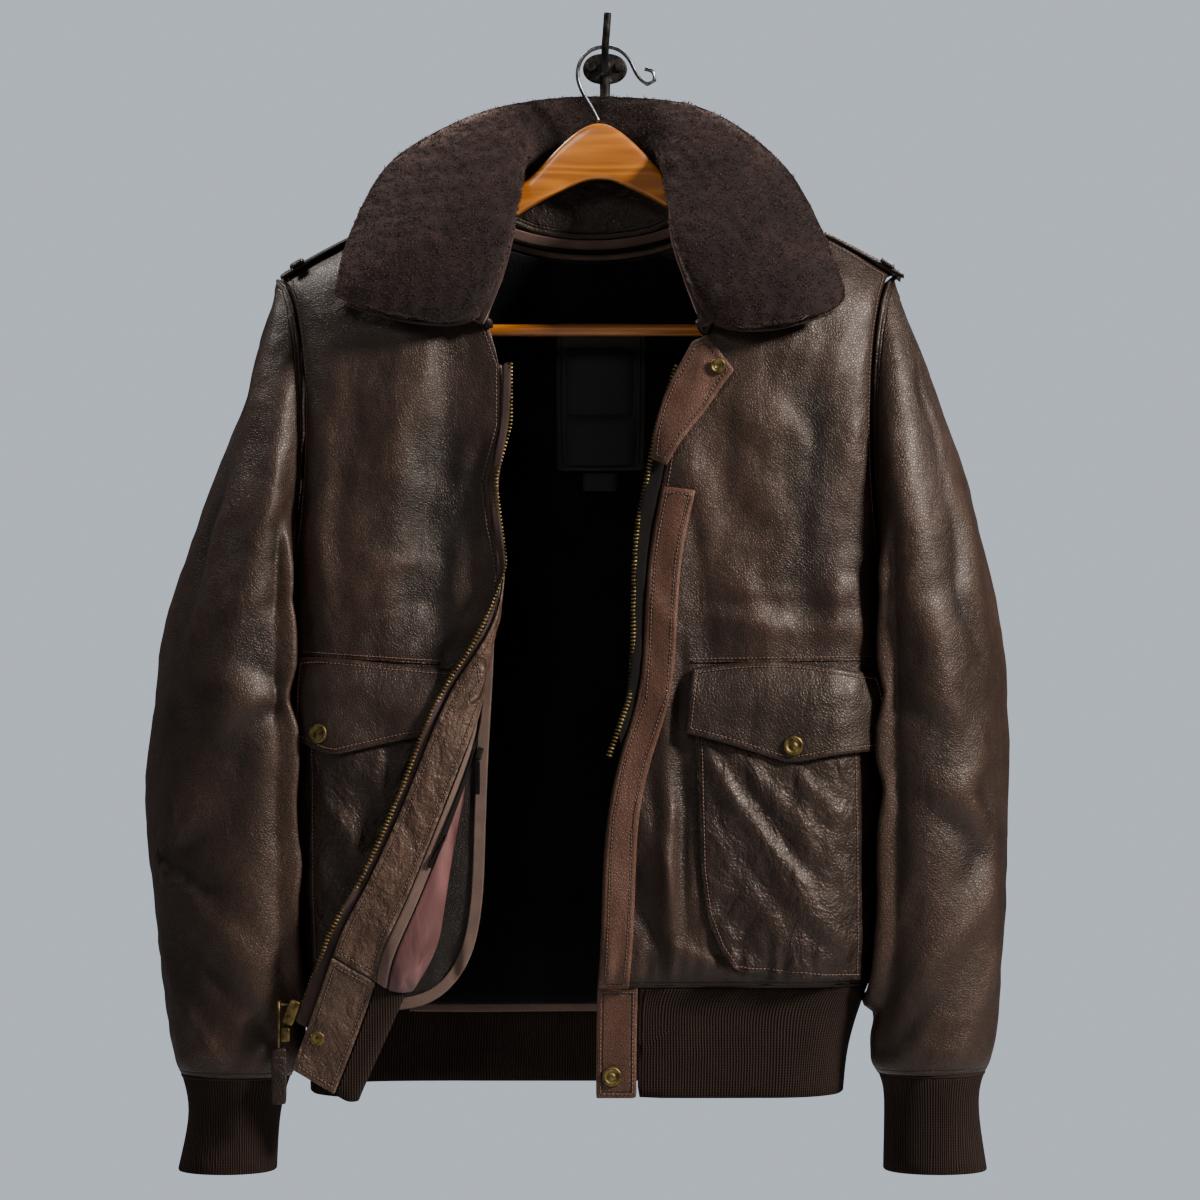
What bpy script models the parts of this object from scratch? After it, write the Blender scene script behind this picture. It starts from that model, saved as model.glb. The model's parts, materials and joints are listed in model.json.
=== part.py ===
# A leather bomber jacket with a fur collar, open, on a wooden hanger that hangs from a wall hook.
# Frame: +X to the right seen from the front, +Y towards the wall, +Z up. The origin is the middle of
# the wall plate's back face. Right and left are the wearer's: the right front lies at -X.
# Lengths in the tables and constants are millimetres, turned to metres when a mesh is made.
import math

import bmesh
import bpy
import numpy as np
from mathutils import Vector

MM = 0.001
SEAM_GAP = 0.3  # between two pieces at a seam, and under what lies on a panel
LEATHER = 2.0  # wall of a leather panel
CENTRE_X = -11.0  # the jacket hangs a little to the left of its hook

# ---- the shape of the body -------------------------------------------------------------------
RIDGE_Y = -58.0  # the shoulder seams, over the hanger's arms
SIDE_Y = -74.0  # the side seams
NECK_HEIGHT = -105.0  # where the shoulder seams meet the neck
SHOULDER_SLOPE = 0.30
SHOULDER_CURVE = 0.00105
UNDERARM_HEIGHT = -410.0
HEM_HEIGHT = -722.0  # the leather's edge, on the knit
KNIT_FOOT = -807.0
GATHER_PITCH = 23.0  # of the gathers in which the leather meets the knit
GATHER_DEPTH = 1.8


def table(columns, *rows):
    """Rows of numbers under named columns."""
    names = columns.split()
    return [dict(zip(names, row)) for row in rows]


def smooth(xs, ys, at):
    """Values at some places on a smooth curve through the points (xs, ys)."""
    xs, ys, at = (np.asarray(v, float) for v in (xs, ys, at))
    if xs[0] > xs[-1]:
        xs, ys = xs[::-1], ys[::-1]
    step = np.diff(xs)
    slope = np.diff(ys) / step
    tangent = np.concatenate([slope[:1], slope[:1], slope[1:]])[: len(xs)]
    tangent[-1] = slope[-1]
    same = slope[:-1] * slope[1:] > 0
    mean = (slope[:-1] * step[1:] + slope[1:] * step[:-1]) / (step[1:] + step[:-1])
    tangent[1:-1] = np.where(same, mean, 0.35 * mean)
    at = np.clip(at, xs[0], xs[-1])
    i = np.clip(np.searchsorted(xs, at) - 1, 0, len(step) - 1)
    t = (at - xs[i]) / step[i]
    return (
        ys[i] * (1 + 2 * t) * (1 - t) ** 2
        + ys[i + 1] * t * t * (3 - 2 * t)
        + step[i] * t * (1 - t) * (tangent[i] * (1 - t) - tangent[i + 1] * t)
    )


def column(rows, key, name, at):
    """One column of a table, read smoothly at a value of its key column."""
    return smooth([r[key] for r in rows], [r[name] for r in rows], at)


def steps(*places):
    return np.array(places, float)


def rounding(q, power=2.2):
    """0 at the seam, rising like the quarter of a rounded box to 1."""
    q = np.clip(q, 0, 1)
    return (1 - (1 - q) ** power) ** (1 / power)


def ramp(low, high, value):
    t = np.clip((value - low) / (high - low), 0, 1)
    return t * t * (3 - 2 * t)


# For each side: the sign of x, the shoulder seam's two ends, the armhole and the side seam.
SIDES = {
    "right": dict(sign=-1, neck_x=-103.0, shoulder_x=-255.0, under_x=-247.0, bow=20.0),
    "left": dict(sign=1, neck_x=83.0, shoulder_x=226.0, under_x=218.0, bow=18.0),
}
SIDE_SEAM = table(
    "height right left",
    (-410, -247, 218),
    (-480, -249, 218),
    (-600, -247, 217),
    (-680, -243, 214),
    (-722, -238, 207),
    (-740, -236, 200),
    (-770, -232, 190),
    (-807, -231, 187),
)
# Depth of the flat of the front and of the back at each height.
BODY_DEPTH = table(
    "height front back",
    (-100, -104, -30),
    (-150, -114, -22),
    (-200, -121, -15),
    (-250, -126, -12),
    (-320, -131, -10),
    (-420, -135, -9),
    (-520, -138, -9),
    (-620, -141, -9),
    (-690, -142, -10),
    (-712, -139, -12),
    (-722, -131, -19),
    (-760, -128, -20),
    (-807, -127, -20),
)
ARMHOLE_DEPTH = 44.0  # of the armhole's middle, forward and back
SHOULDER_DROP = 92.0  # below the shoulder seam, where the front becomes flat
TURN_WIDTH = 62.0  # across which the body turns into its side seam


def shoulder_height(side, x):
    """Height of the shoulder seam's line at an x, level inside the neck."""
    s = SIDES[side]
    out = np.clip(s["sign"] * (np.asarray(x, float) - s["neck_x"]), 0, None)
    return NECK_HEIGHT - SHOULDER_SLOPE * out - SHOULDER_CURVE * out * out


def armhole(side, angle):
    """The armhole seam: 0 at the shoulder, +180 degrees at the underarm in front, -180 behind."""
    s = SIDES[side]
    a = np.radians(angle)
    top = float(shoulder_height(side, s["shoulder_x"]))
    down = (1 - np.cos(a)) / 2
    reach = np.abs(np.sin(a))
    x = s["shoulder_x"] + (s["under_x"] - s["shoulder_x"]) * down
    x = x - s["sign"] * s["bow"] * reach * (1 + 0.25 * np.cos(a))
    middle = RIDGE_Y + (SIDE_Y - RIDGE_Y) * down
    y = middle - np.sign(a) * ARMHOLE_DEPTH * reach**0.9
    z = top + (UNDERARM_HEIGHT - top) * down
    return np.stack([x, y, z], axis=-1)


def armhole_angle(side, z):
    """The front angle at which the armhole passes a height."""
    top = float(shoulder_height(side, SIDES[side]["shoulder_x"]))
    down = np.clip((top - z) / (top - UNDERARM_HEIGHT), 0, 1)
    return np.degrees(np.arccos(1 - 2 * down))


def side_edge(side, face, z):
    """x and y where the front (-1) or the back (+1) ends at a height: armhole, then side seam."""
    z = np.asarray(z, float)
    hole = armhole(side, -face * armhole_angle(side, z))
    below = z < UNDERARM_HEIGHT
    x = np.where(below, column(SIDE_SEAM, "height", side, z), hole[..., 0])
    return x, np.where(below, SIDE_Y, hole[..., 1])


# Folds: soft ridges (height above 0) and troughs of a front, from one end to the other.
FRONT_FOLDS = table(
    "x0 z0 x1 z1 width rise",
    (145, -230, 160, -345, 20, 5.0),  # left chest
    (160, -345, 190, -440, 18, 4.0),
    (84, -265, 92, -400, 13, -6.0),  # between the placket and the left chest
    (60, -300, 54, -470, 12, 3.0),
    (170, -222, 200, -290, 9, 3.0),
    (205, -330, 150, -470, 16, -3.5),
    (35, -560, 52, -700, 8, 4.5),  # beside the placket, down to the hem
    (24, -590, 44, -690, 6, -4.0),
    (58, -540, 62, -700, 8, 3.0),
    (-165, -205, -150, -330, 16, 4.5),  # right chest
    (-137, -222, -130, -340, 9, 4.0),
    (-108, -250, -104, -420, 16, -5.0),
    (-150, -340, -180, -460, 20, 4.0),
    (-215, -300, -190, -450, 15, -3.5),
    (-225, -560, -180, -700, 16, -4.0),
)
BACK_FOLDS = table(
    "x0 z0 x1 z1 width rise",
    (-150, -180, -60, -330, 22, -4.0),
    (130, -180, 40, -340, 22, -4.0),
    (-12, -200, -14, -420, 26, -4.0),
    (-190, -380, -120, -520, 24, 4.5),
    (165, -380, 100, -530, 24, 4.5),
    (-90, -560, -110, -700, 18, -4.0),
    (70, -540, 88, -700, 18, -4.0),
    (-20, -600, -10, -710, 20, 3.0),
)


def folds(rows, x, z):
    """How far the folds of a table lift the cloth at places on a panel."""
    total = np.zeros(np.broadcast(x, z).shape)
    for r in rows:
        run = np.array([r["x1"] - r["x0"], r["z1"] - r["z0"]], float)
        along = ((x - r["x0"]) * run[0] + (z - r["z0"]) * run[1]) / (run @ run)
        near = np.clip(along, 0, 1)
        away = np.hypot(x - r["x0"] - near * run[0], z - r["z0"] - near * run[1])
        total = total + r["rise"] * np.exp(-((away / r["width"]) ** 2))
    return total


def gather(x, z):
    """How far the small gathers along the leather's hem lift it."""
    near = ramp(HEM_HEIGHT + 40, HEM_HEIGHT + 4, z) * ramp(HEM_HEIGHT - 3, HEM_HEIGHT + 2, z)
    return near * GATHER_DEPTH * np.sin(2 * math.pi * (x / GATHER_PITCH + 0.3 * np.sin(x / 37.0)))


def front_depth(side, x, z):
    """y of the outside of a front where it lies unfolded."""
    x, z = np.broadcast_arrays(np.asarray(x, float), np.asarray(z, float))
    flat = column(BODY_DEPTH, "height", "front", z)
    drop = shoulder_height(side, x) - z
    crown = RIDGE_Y + (flat - RIDGE_Y) * rounding(drop / SHOULDER_DROP)
    edge_x, edge_y = side_edge(side, -1, z)
    turned = rounding(SIDES[side]["sign"] * (edge_x - x) / TURN_WIDTH)
    away = ramp(4, 40, np.abs(edge_x - x)) * ramp(20, 60, drop)
    return edge_y + (crown - edge_y) * turned - (folds(FRONT_FOLDS, x, z) + gather(x, z)) * away


def back_depth(x, z):
    """y of the outside of the back."""
    x, z = np.broadcast_arrays(np.asarray(x, float), np.asarray(z, float))
    flat = column(BODY_DEPTH, "height", "back", z)
    y = np.empty(x.shape)
    for side, s in SIDES.items():
        here = s["sign"] * (x - CENTRE_X) >= 0
        drop = shoulder_height(side, x) - z
        crown = RIDGE_Y + (flat - RIDGE_Y) * rounding(drop / 75.0)
        edge_x, edge_y = side_edge(side, 1, z)
        turned = rounding(s["sign"] * (edge_x - x) / 80.0)
        away = ramp(4, 40, np.abs(edge_x - x)) * ramp(20, 60, drop)
        lifted = edge_y + (crown - edge_y) * turned
        lifted = np.minimum(lifted + (folds(BACK_FOLDS, x, z) + gather(x, z)) * away, -4.0)
        y[here] = lifted[here]
    return y


# ---- the two fronts --------------------------------------------------------------------------
# A row of a front runs level from the side to the turn, then, where the front's lower corner is
# turned out, comes back by the length of cloth in "back", rising by the angle in "tilt".
RIGHT_FRONT = table(
    "side_z edge_z turn_x back tilt roll",
    (-174.7, -105, -103, 0, 0, 0.05),
    (-184, -121, -105, 0, 0, 0.05),
    (-200, -142, -107, 0, 0, 0.05),
    (-221, -166, -104, 0, 0, 0.05),
    (-245, -192, -97, 0, 0, 0.05),
    (-270, -217, -90, 0, 0, 0.05),
    (-296, -249, -78, 0, 0, 0.05),
    (-322, -283, -77, 0, 0, 0.05),
    (-348, -318, -89, 0, 0, 0.05),
    (-374, -350, -90, 0, 0, 0.05),
    (-396, -381, -83, 0, 0, 0.05),
    (-409, -405, -80, 0, 0, 3.0),
    (-432, -432, -81, 5, 12, 6.0),
    (-462, -462, -87, 13, 16, 7.0),
    (-500, -500, -96, 27, 18, 7.5),
    (-545, -545, -105, 37, 20, 8.0),
    (-590, -590, -115, 44, 23, 8.0),
    (-630, -630, -121, 55, 26, 8.5),
    (-667, -667, -127, 65, 28, 8.5),
    (-694, -694, -135, 72, 29, 8.5),
    (-711, -711, -144, 71, 30, 8.5),
    (-722, -722, -152, 67, 30, 8.5),
    (-763, -763, -171, 62, 30, 8.0),
    (-807, -807, -190, 60, 31, 7.5),
)
LEFT_FRONT = table(
    "side_z edge_z turn_x back tilt roll",
    (-171.8, -105, 83, 0, 0, 0.05),
    (-182, -122, 87, 0, 0, 0.05),
    (-198, -145, 89, 0, 0, 0.05),
    (-219, -170, 90, 0, 0, 0.05),
    (-243, -197, 88, 0, 0, 0.05),
    (-268, -222, 76, 0, 0, 0.05),
    (-294, -252, 62, 0, 0, 0.05),
    (-320, -286, 52, 0, 0, 0.05),
    (-346, -320, 47, 0, 0, 0.05),
    (-372, -353, 40, 0, 0, 0.05),
    (-395, -383, 34, 0, 0, 0.05),
    (-409, -405, 32, 0, 0, 0.05),
    (-432, -432, 30, 0, 0, 0.05),
    (-462, -462, 29, 0, 0, 0.05),
    (-500, -500, 26, 0, 0, 0.05),
    (-545, -545, 10, 0, 0, 0.05),
    (-590, -590, 1, 0, 0, 0.05),
    (-630, -630, -2, 0, 0, 0.05),
    (-667, -667, -3, 0, 0, 0.05),
    (-694, -694, -4, 0, 0, 0.05),
    (-711, -711, -5, 0, 0, 0.05),
    (-722, -722, -6, 0, 0, 0.05),
    (-763, -763, -7, 0, 0, 0.05),
    (-807, -807, -7, 0, 0, 0.05),
)
FRONTS = {"right": RIGHT_FRONT, "left": LEFT_FRONT}
HEM_ROW = 21  # the row of both tables on which the leather ends


def front_surface(side, row, away):
    """Points of a front's outside, by row and by distance from the front edge along the cloth."""
    row, away = np.broadcast_arrays(np.asarray(row, float), np.asarray(away, float))
    rows = FRONTS[side]
    sign = SIDES[side]["sign"]
    r = {k: smooth(range(len(rows)), [line[k] for line in rows], row) for k in rows[0]}
    q = away - r["back"]
    angle = np.clip(q / r["roll"], -math.pi / 2, math.pi / 2)
    beyond = np.maximum(0, np.abs(q) - r["roll"] * math.pi / 2)
    returned = q < 0
    tilt = np.radians(r["tilt"]) * returned
    x = r["turn_x"] + sign * (r["roll"] * (1 - np.cos(angle)) + beyond * np.cos(tilt))
    edge_x, _ = side_edge(side, -1, r["side_z"])
    share = np.clip((edge_x - x) / (edge_x - r["turn_x"]), 0, 1)
    z = r["side_z"] + (r["edge_z"] - r["side_z"]) * share
    chord = shoulder_height(side, edge_x) * (1 - share) + NECK_HEIGHT * share
    z = z + ramp(-300, -180, r["edge_z"]) * (shoulder_height(side, x) - chord)
    z = z + beyond * np.sin(tilt)
    under_x = np.where(returned, sign * np.minimum(sign * x, 185.0), x)
    y = front_depth(side, under_x, z) - r["roll"] * (1 - np.sin(angle))
    return np.stack([x, y - 0.05 * beyond * returned, z], axis=-1)


def front_width(side, row):
    """Cloth from the front edge to the side seam, along a row."""
    rows = FRONTS[side]
    r = {k: smooth(range(len(rows)), [line[k] for line in rows], row) for k in rows[0]}
    edge_x, _ = side_edge(side, -1, r["side_z"])
    return np.abs(edge_x - r["turn_x"]) + r["back"] + (math.pi / 2 - 1) * r["roll"]


def lifted(surface, u, v, lift, outward, du=0.04, dv=1.0):
    """Points of a surface moved off it, along the normal that points the outward way."""
    u, v = np.broadcast_arrays(np.asarray(u, float), np.asarray(v, float))
    along = surface(u + du, v) - surface(u - du, v)
    across = surface(u, v + dv) - surface(u, v - dv)
    normal = np.cross(along, across) * outward
    normal /= np.maximum(np.linalg.norm(normal, axis=-1, keepdims=True), 1e-9)
    return surface(u, v) + np.asarray(lift)[..., None] * normal


def on_front(side, x, z, lift):
    """Points that lie on a front at an x and a height, moved off it."""
    x, z = np.broadcast_arrays(np.asarray(x, float), np.asarray(z, float))
    surface = lambda a, b: np.stack([a, front_depth(side, a, b), b], axis=-1)
    return lifted(surface, x, z, lift, outward=1, du=1.0, dv=1.0)


def in_front(side, row, away, lift):
    """Points off a front's outside (above 0) or inside it, by row and distance from its edge."""
    outward = SIDES[side]["sign"]
    surface = lambda a, b: front_surface(side, np.clip(a, 0, len(FRONTS[side]) - 1), b)
    return lifted(surface, row, away, lift, outward)


NECK_SHARE = 0.42  # of the back's half width, where the shoulder seam meets the neck
NECK_DIP = 34.0  # of the back neck below the shoulder seams' ends
NECK_ROWS = 5.0  # rows of a front's table that run to the neck
SHOULDER_STATION = 4 / 14  # along the collar, where the shoulder seam meets it


def neck_line(x):
    """Height of the panels' top edge at an x: the shoulder seams and the back neck between them."""
    top = np.where(x < CENTRE_X, shoulder_height("right", x), shoulder_height("left", x))
    dip = np.clip(1 - ((x - CENTRE_X) / (SIDES["left"]["neck_x"] - CENTRE_X)) ** 2, 0, 1)
    return top - NECK_DIP * dip**0.6


def back_surface(w, c):
    """Points of the back's outside: w runs from the neck and shoulders (0) to the hem (1), and c
    from the right side (-1) to the left (1)."""
    w, c = np.broadcast_arrays(np.asarray(w, float), np.asarray(c, float))
    x = np.empty(w.shape)
    side_z = np.empty(w.shape)
    for side, s in SIDES.items():
        here = s["sign"] * c >= 0
        top = float(shoulder_height(side, s["shoulder_x"]))
        level = smooth([0, 0.1, 0.4, 1], [top, top - 34, UNDERARM_HEIGHT - 8, HEM_HEIGHT], w)
        edge_x, _ = side_edge(side, 1, level)
        inner = CENTRE_X + (s["neck_x"] - CENTRE_X) * np.minimum(np.abs(c) / NECK_SHARE, 1)
        outer = np.clip((np.abs(c) - NECK_SHARE) / (1 - NECK_SHARE), 0, 1)
        x[here] = (inner + (edge_x - s["neck_x"]) * outer)[here]
        side_z[here] = level[here]
    top_z = neck_line(x)
    shape = ramp(0.45, 0.0, w)
    side_top = np.where(x < CENTRE_X, *[shoulder_height(s, SIDES[s]["shoulder_x"]) for s in SIDES])
    z = side_z + shape * (top_z - side_top)
    return np.stack([x, back_depth(x, z), z], axis=-1)


def on_back(x, z, lift):
    """Points that lie on the back at an x and a height, moved off it."""
    x, z = np.broadcast_arrays(np.asarray(x, float), np.asarray(z, float))
    surface = lambda a, b: np.stack([a, back_depth(a, b), b], axis=-1)
    return lifted(surface, x, z, lift, outward=-1, du=1.0, dv=1.0)


# ---- sleeves ---------------------------------------------------------------------------------
# Each ring's outer and inner point, how far forward its middle is, its half depth, how far its
# armhole side bows in and how far its front leans towards the body.
RIGHT_SLEEVE = table(
    "outer_x outer_z inner_x inner_z outer_y inner_y depth bow lean",
    (-255, -174.7, -247, -410, -58, -74, 44, 20, 0),
    (-261, -187, -249.5, -414, -62, -77, 47, 17, 1),
    (-269, -212, -251, -419, -68, -80, 52, 12, 4),
    (-277, -250, -251.5, -426, -74, -82, 57, 7, 8),
    (-288, -296, -252, -434, -78, -83, 60, 3, 12),
    (-307, -345, -252, -444, -80, -84, 62, 1, 16),
    (-325, -396, -252, -458, -81, -85, 63, 0, 20),
    (-339, -450, -252, -478, -82, -85, 63, 0, 23),
    (-346, -504, -251.5, -510, -83, -86, 62, 0, 24),
    (-353, -560, -250, -556, -83, -86, 60, 0, 24),
    (-355, -612, -249, -604, -84, -86, 58, 0, 23),
    (-350, -656, -248, -650, -85, -86, 56, 0, 20),
    (-345, -697, -247, -693, -86, -87, 54, 0, 17),
    (-341, -735, -244, -732, -87, -88, 51, 0, 13),
    (-338, -764, -240, -763, -88, -88, 48, 0, 9),
    (-335, -783, -237, -783, -88, -88, 45, 0, 6),
    (-330, -792, -242, -792, -88, -88, 40, 0, 4),
)
LEFT_SLEEVE = table(
    "outer_x outer_z inner_x inner_z outer_y inner_y depth bow lean",
    (226, -171.8, 218, -410, -58, -74, 44, 18, 0),
    (232, -185, 220.5, -414, -62, -77, 47, 15, 1),
    (241, -211, 222, -419, -68, -80, 52, 10, 4),
    (254, -250, 222.5, -426, -74, -82, 57, 6, 8),
    (269, -296, 223, -434, -78, -83, 60, 3, 12),
    (283, -345, 223, -444, -80, -84, 62, 1, 15),
    (296, -396, 223, -458, -81, -85, 63, 0, 18),
    (305, -450, 223, -478, -82, -85, 63, 0, 19),
    (310.5, -504, 222.5, -510, -83, -86, 62, 0, 19),
    (312.5, -560, 222, -556, -83, -86, 60, 0, 18),
    (313, -612, 221, -604, -84, -86, 58, 0, 17),
    (311.5, -656, 219.5, -650, -85, -86, 56, 0, 15),
    (308.5, -697, 218, -693, -86, -87, 54, 0, 13),
    (306, -735, 213, -732, -87, -88, 51, 0, 10),
    (304, -764, 206, -763, -88, -88, 48, 0, 7),
    (301, -781, 204, -782, -88, -88, 45, 0, 5),
    (296, -790, 210, -790, -88, -88, 40, 0, 4),
)
SLEEVES = {"right": RIGHT_SLEEVE, "left": LEFT_SLEEVE}
# Creases of a sleeve: the ring and angle of each end, its half width and its rise.
SLEEVE_FOLDS = table(
    "ring0 angle0 ring1 angle1 width rise",
    (1, 150, 6, 120, 16, -5.0),
    (1, 95, 9, 62, 16, 3.5),
    (5, 70, 8, 120, 14, -3.0),
    (7, 20, 10, 75, 14, -3.0),
    (9, 110, 11, 45, 12, -2.5),
    (3, -60, 8, -110, 18, -3.5),
    (8, -70, 13, -95, 16, 3.0),
    (12, 60, 15, 100, 14, -2.5),
    (12, 10, 15, 40, 14, 2.5),
    (11, -130, 15, -70, 16, -2.5),
)


def sleeve_surface(side, ring, angle):
    """Points of a sleeve's outside: angle 0 is its outer line and 180 degrees the inner one."""
    ring, angle = np.broadcast_arrays(np.asarray(ring, float), np.asarray(angle, float))
    rows = SLEEVES[side]
    sign = SIDES[side]["sign"]
    r = {k: smooth(range(len(rows)), [line[k] for line in rows], ring) for k in rows[0]}
    a = np.radians(angle)
    down = (1 - np.cos(a)) / 2
    reach = np.abs(np.sin(a))
    forward = np.sign(np.sin(a)) * reach ** np.interp(ring, [0, 5], [0.9, 0.8])
    lift = np.zeros(ring.shape)
    for f in SLEEVE_FOLDS:
        run = np.array([(f["ring1"] - f["ring0"]) * 40.0, (f["angle1"] - f["angle0"]) * 1.0])
        gap = np.stack([(ring - f["ring0"]) * 40.0, (angle - f["angle0"]) * 1.0])
        near = np.clip((gap[0] * run[0] + gap[1] * run[1]) / (run @ run), 0, 1)
        away = np.hypot(gap[0] - near * run[0], gap[1] - near * run[1])
        lift += f["rise"] * np.exp(-((away / f["width"]) ** 2))
    lift *= ramp(0, 1.5, ring) * ramp(len(rows) - 1, len(rows) - 3, ring)
    x = r["outer_x"] + (r["inner_x"] - r["outer_x"]) * down
    x -= sign * (r["bow"] * reach * (1 + 0.25 * np.cos(a)) + r["lean"] * forward)
    x += sign * np.cos(a) * np.minimum(lift, 3.0) * (np.cos(a) > 0)
    y = r["outer_y"] + (r["inner_y"] - r["outer_y"]) * down - r["depth"] * forward
    y -= lift * np.sin(a)
    z = r["outer_z"] + (r["inner_z"] - r["outer_z"]) * down
    return np.stack([x, y, z], axis=-1)


# ---- collar ----------------------------------------------------------------------------------
# Stations from the middle of the back to the front end: the top of the leather stand, the point
# that the leaf bends towards, and the leaf's free edge.
RIGHT_COLLAR = table(
    "root_x root_y root_z bend_x bend_y bend_z edge_x edge_y edge_z",
    (-11, -30, -97, -11, -33, -60, -11, -27, -26),
    (-42, -33, -95, -42, -38, -56, -62, -31, -31),
    (-64, -44, -90, -58, -51, -54, -104, -38, -44),
    (-74, -62, -92, -56, -68, -68, -144, -52, -66),
    (-74, -86, -118, -54, -94, -98, -173, -70, -90),
    (-76, -108, -148, -60, -120, -130, -191, -92, -127),
    (-83, -123, -180, -74, -136, -166, -203, -118, -163),
    (-92, -131, -211, -130, -150, -230, -208, -136, -197),
)
LEFT_COLLAR = table(
    "root_x root_y root_z bend_x bend_y bend_z edge_x edge_y edge_z",
    (-11, -30, -97, -11, -33, -60, -11, -27, -26),
    (18, -33, -95, 19, -38, -56, 36, -31, -29),
    (42, -44, -90, 36, -51, -54, 78, -38, -38),
    (54, -62, -92, 38, -68, -68, 118, -52, -64),
    (54, -86, -118, 38, -94, -98, 148, -70, -98),
    (56, -108, -150, 42, -120, -134, 165, -92, -134),
    (66, -123, -184, 54, -136, -170, 179, -118, -170),
    (72, -131, -212, 118, -150, -238, 186, -136, -201),
)
FUR_DEPTH = 15.0
STAND_WALL = 2.4


def collar_line(part, spread):
    """One line of the collar's stations, round the neck from the right end (0) to the left (1)."""
    rows = RIGHT_COLLAR[::-1] + LEFT_COLLAR[1:]
    points = np.array([[r[part + "_x"], r[part + "_y"], r[part + "_z"]] for r in rows], float)
    stations = np.linspace(0, 1, len(rows))
    return np.stack([smooth(stations, points[:, i], spread) for i in range(3)], axis=-1)


def leaf_surface(s, t):
    """The underside of the collar's leaf: s round the neck, t from the stand (0) to the edge (1)."""
    s, t = np.broadcast_arrays(np.asarray(s, float), np.asarray(t, float))
    root, bend, edge = (collar_line(part, s) for part in ("root", "bend", "edge"))
    t = t[..., None]
    return root * (1 - t) ** 2 + 2 * bend * t * (1 - t) + edge * t * t


def neck_seam(s):
    """The edge of the three panels round the neck, from the right end (0) to the left (1)."""
    s = np.asarray(s, float)
    low, high = SHOULDER_STATION, 1 - SHOULDER_STATION
    right = front_surface("right", np.clip(NECK_ROWS * (1 - s / low), 0, NECK_ROWS), 0.0)
    left = front_surface("left", np.clip(NECK_ROWS * (s - high) / low, 0, NECK_ROWS), 0.0)
    middle = back_surface(0.0, np.clip((s - 0.5) / (0.5 - low), -1, 1) * NECK_SHARE)
    s = s[..., None]
    return np.where(s < low, right, np.where(s > high, left, middle))


def stand_surface(s, t):
    """The outside of the collar stand: t from the neck seam (0) to its top (1)."""
    s, t = np.broadcast_arrays(np.asarray(s, float), np.asarray(t, float))
    seam, root = neck_seam(s), collar_line("root", s)
    return seam + (root - seam) * t[..., None]


# ---- making objects --------------------------------------------------------------------------
FINISHES = {
    "leather": ((0.060, 0.036, 0.027), 0.42, 0.0),
    "leather_red": ((0.095, 0.045, 0.034), 0.45, 0.0),
    "leather_black": ((0.012, 0.011, 0.012), 0.5, 0.0),
    "fur": ((0.050, 0.030, 0.026), 0.9, 0.0),
    "knit": ((0.040, 0.027, 0.023), 0.9, 0.0),
    "binding": ((0.230, 0.140, 0.100), 0.8, 0.0),
    "satin": ((0.260, 0.110, 0.110), 0.4, 0.0),
    "pile": ((0.004, 0.005, 0.009), 0.95, 0.0),
    "tape": ((0.110, 0.055, 0.060), 0.85, 0.0),
    "brass": ((0.420, 0.320, 0.120), 0.35, 1.0),
    "steel": ((0.450, 0.450, 0.450), 0.3, 1.0),
    "iron": ((0.030, 0.028, 0.026), 0.5, 0.9),
    "wood": ((0.560, 0.280, 0.080), 0.35, 0.0),
}
scene = bpy.context.scene
for old in list(bpy.data.objects):
    bpy.data.objects.remove(old, do_unlink=True)
jacket = bpy.data.collections.new("leather_bomber_jacket")
scene.collection.children.link(jacket)
cutters = bpy.data.collections.new("cutters")
scene.collection.children.link(cutters)


def place(name, mesh, finish):
    """A named object of the jacket, with a material of its own."""
    obj = bpy.data.objects.new(name, mesh)
    jacket.objects.link(obj)
    colour, roughness, metallic = FINISHES[finish]
    material = bpy.data.materials.new(name + "_" + finish)
    material.use_nodes = True
    shader = material.node_tree.nodes["Principled BSDF"]
    shader.inputs["Base Color"].default_value = (*colour, 1.0)
    shader.inputs["Roughness"].default_value = roughness
    shader.inputs["Metallic"].default_value = metallic
    mesh.materials.append(material)
    mesh.shade_smooth()
    mesh.set_sharp_from_angle(angle=math.radians(40))
    return obj


def mesh_of(name, points, closed=False, caps=False, flip=False):
    """A mesh through a grid of points: rows of a sheet, or rings of a tube when closed."""
    rows, columns = points.shape[:2]
    work = bmesh.new()
    verts = [[work.verts.new(p * MM) for p in line] for line in points]
    last = columns if closed else columns - 1
    for i in range(rows - 1):
        for j in range(last):
            k = (j + 1) % columns
            corners = [verts[i][j], verts[i][k], verts[i + 1][k], verts[i + 1][j]]
            work.faces.new(corners[::-1] if flip else corners)
    if caps:
        for ring, turn in ((verts[0], not flip), (verts[-1], flip)):
            work.faces.new(ring[::-1] if turn else ring)
    mesh = bpy.data.meshes.new(name)
    work.to_mesh(mesh)
    work.free()
    return mesh


def cloth(name, points, wall, finish, flip=False, closed=False, side=-1):
    """A wall of cloth: the sheet through the points, thickened away from its face."""
    obj = place(name, mesh_of(name, points, closed=closed, flip=flip), finish)
    thicken = obj.modifiers.new("wall", "SOLIDIFY")
    thicken.thickness = wall * MM
    thicken.offset = side
    thicken.use_even_offset = False
    thicken.use_rim = True
    return obj


def body_of(name, rings, finish, flip=False):
    """A closed body lofted through rings of points, with flat ends."""
    return place(name, mesh_of(name, rings, closed=True, caps=True, flip=flip), finish)


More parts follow.
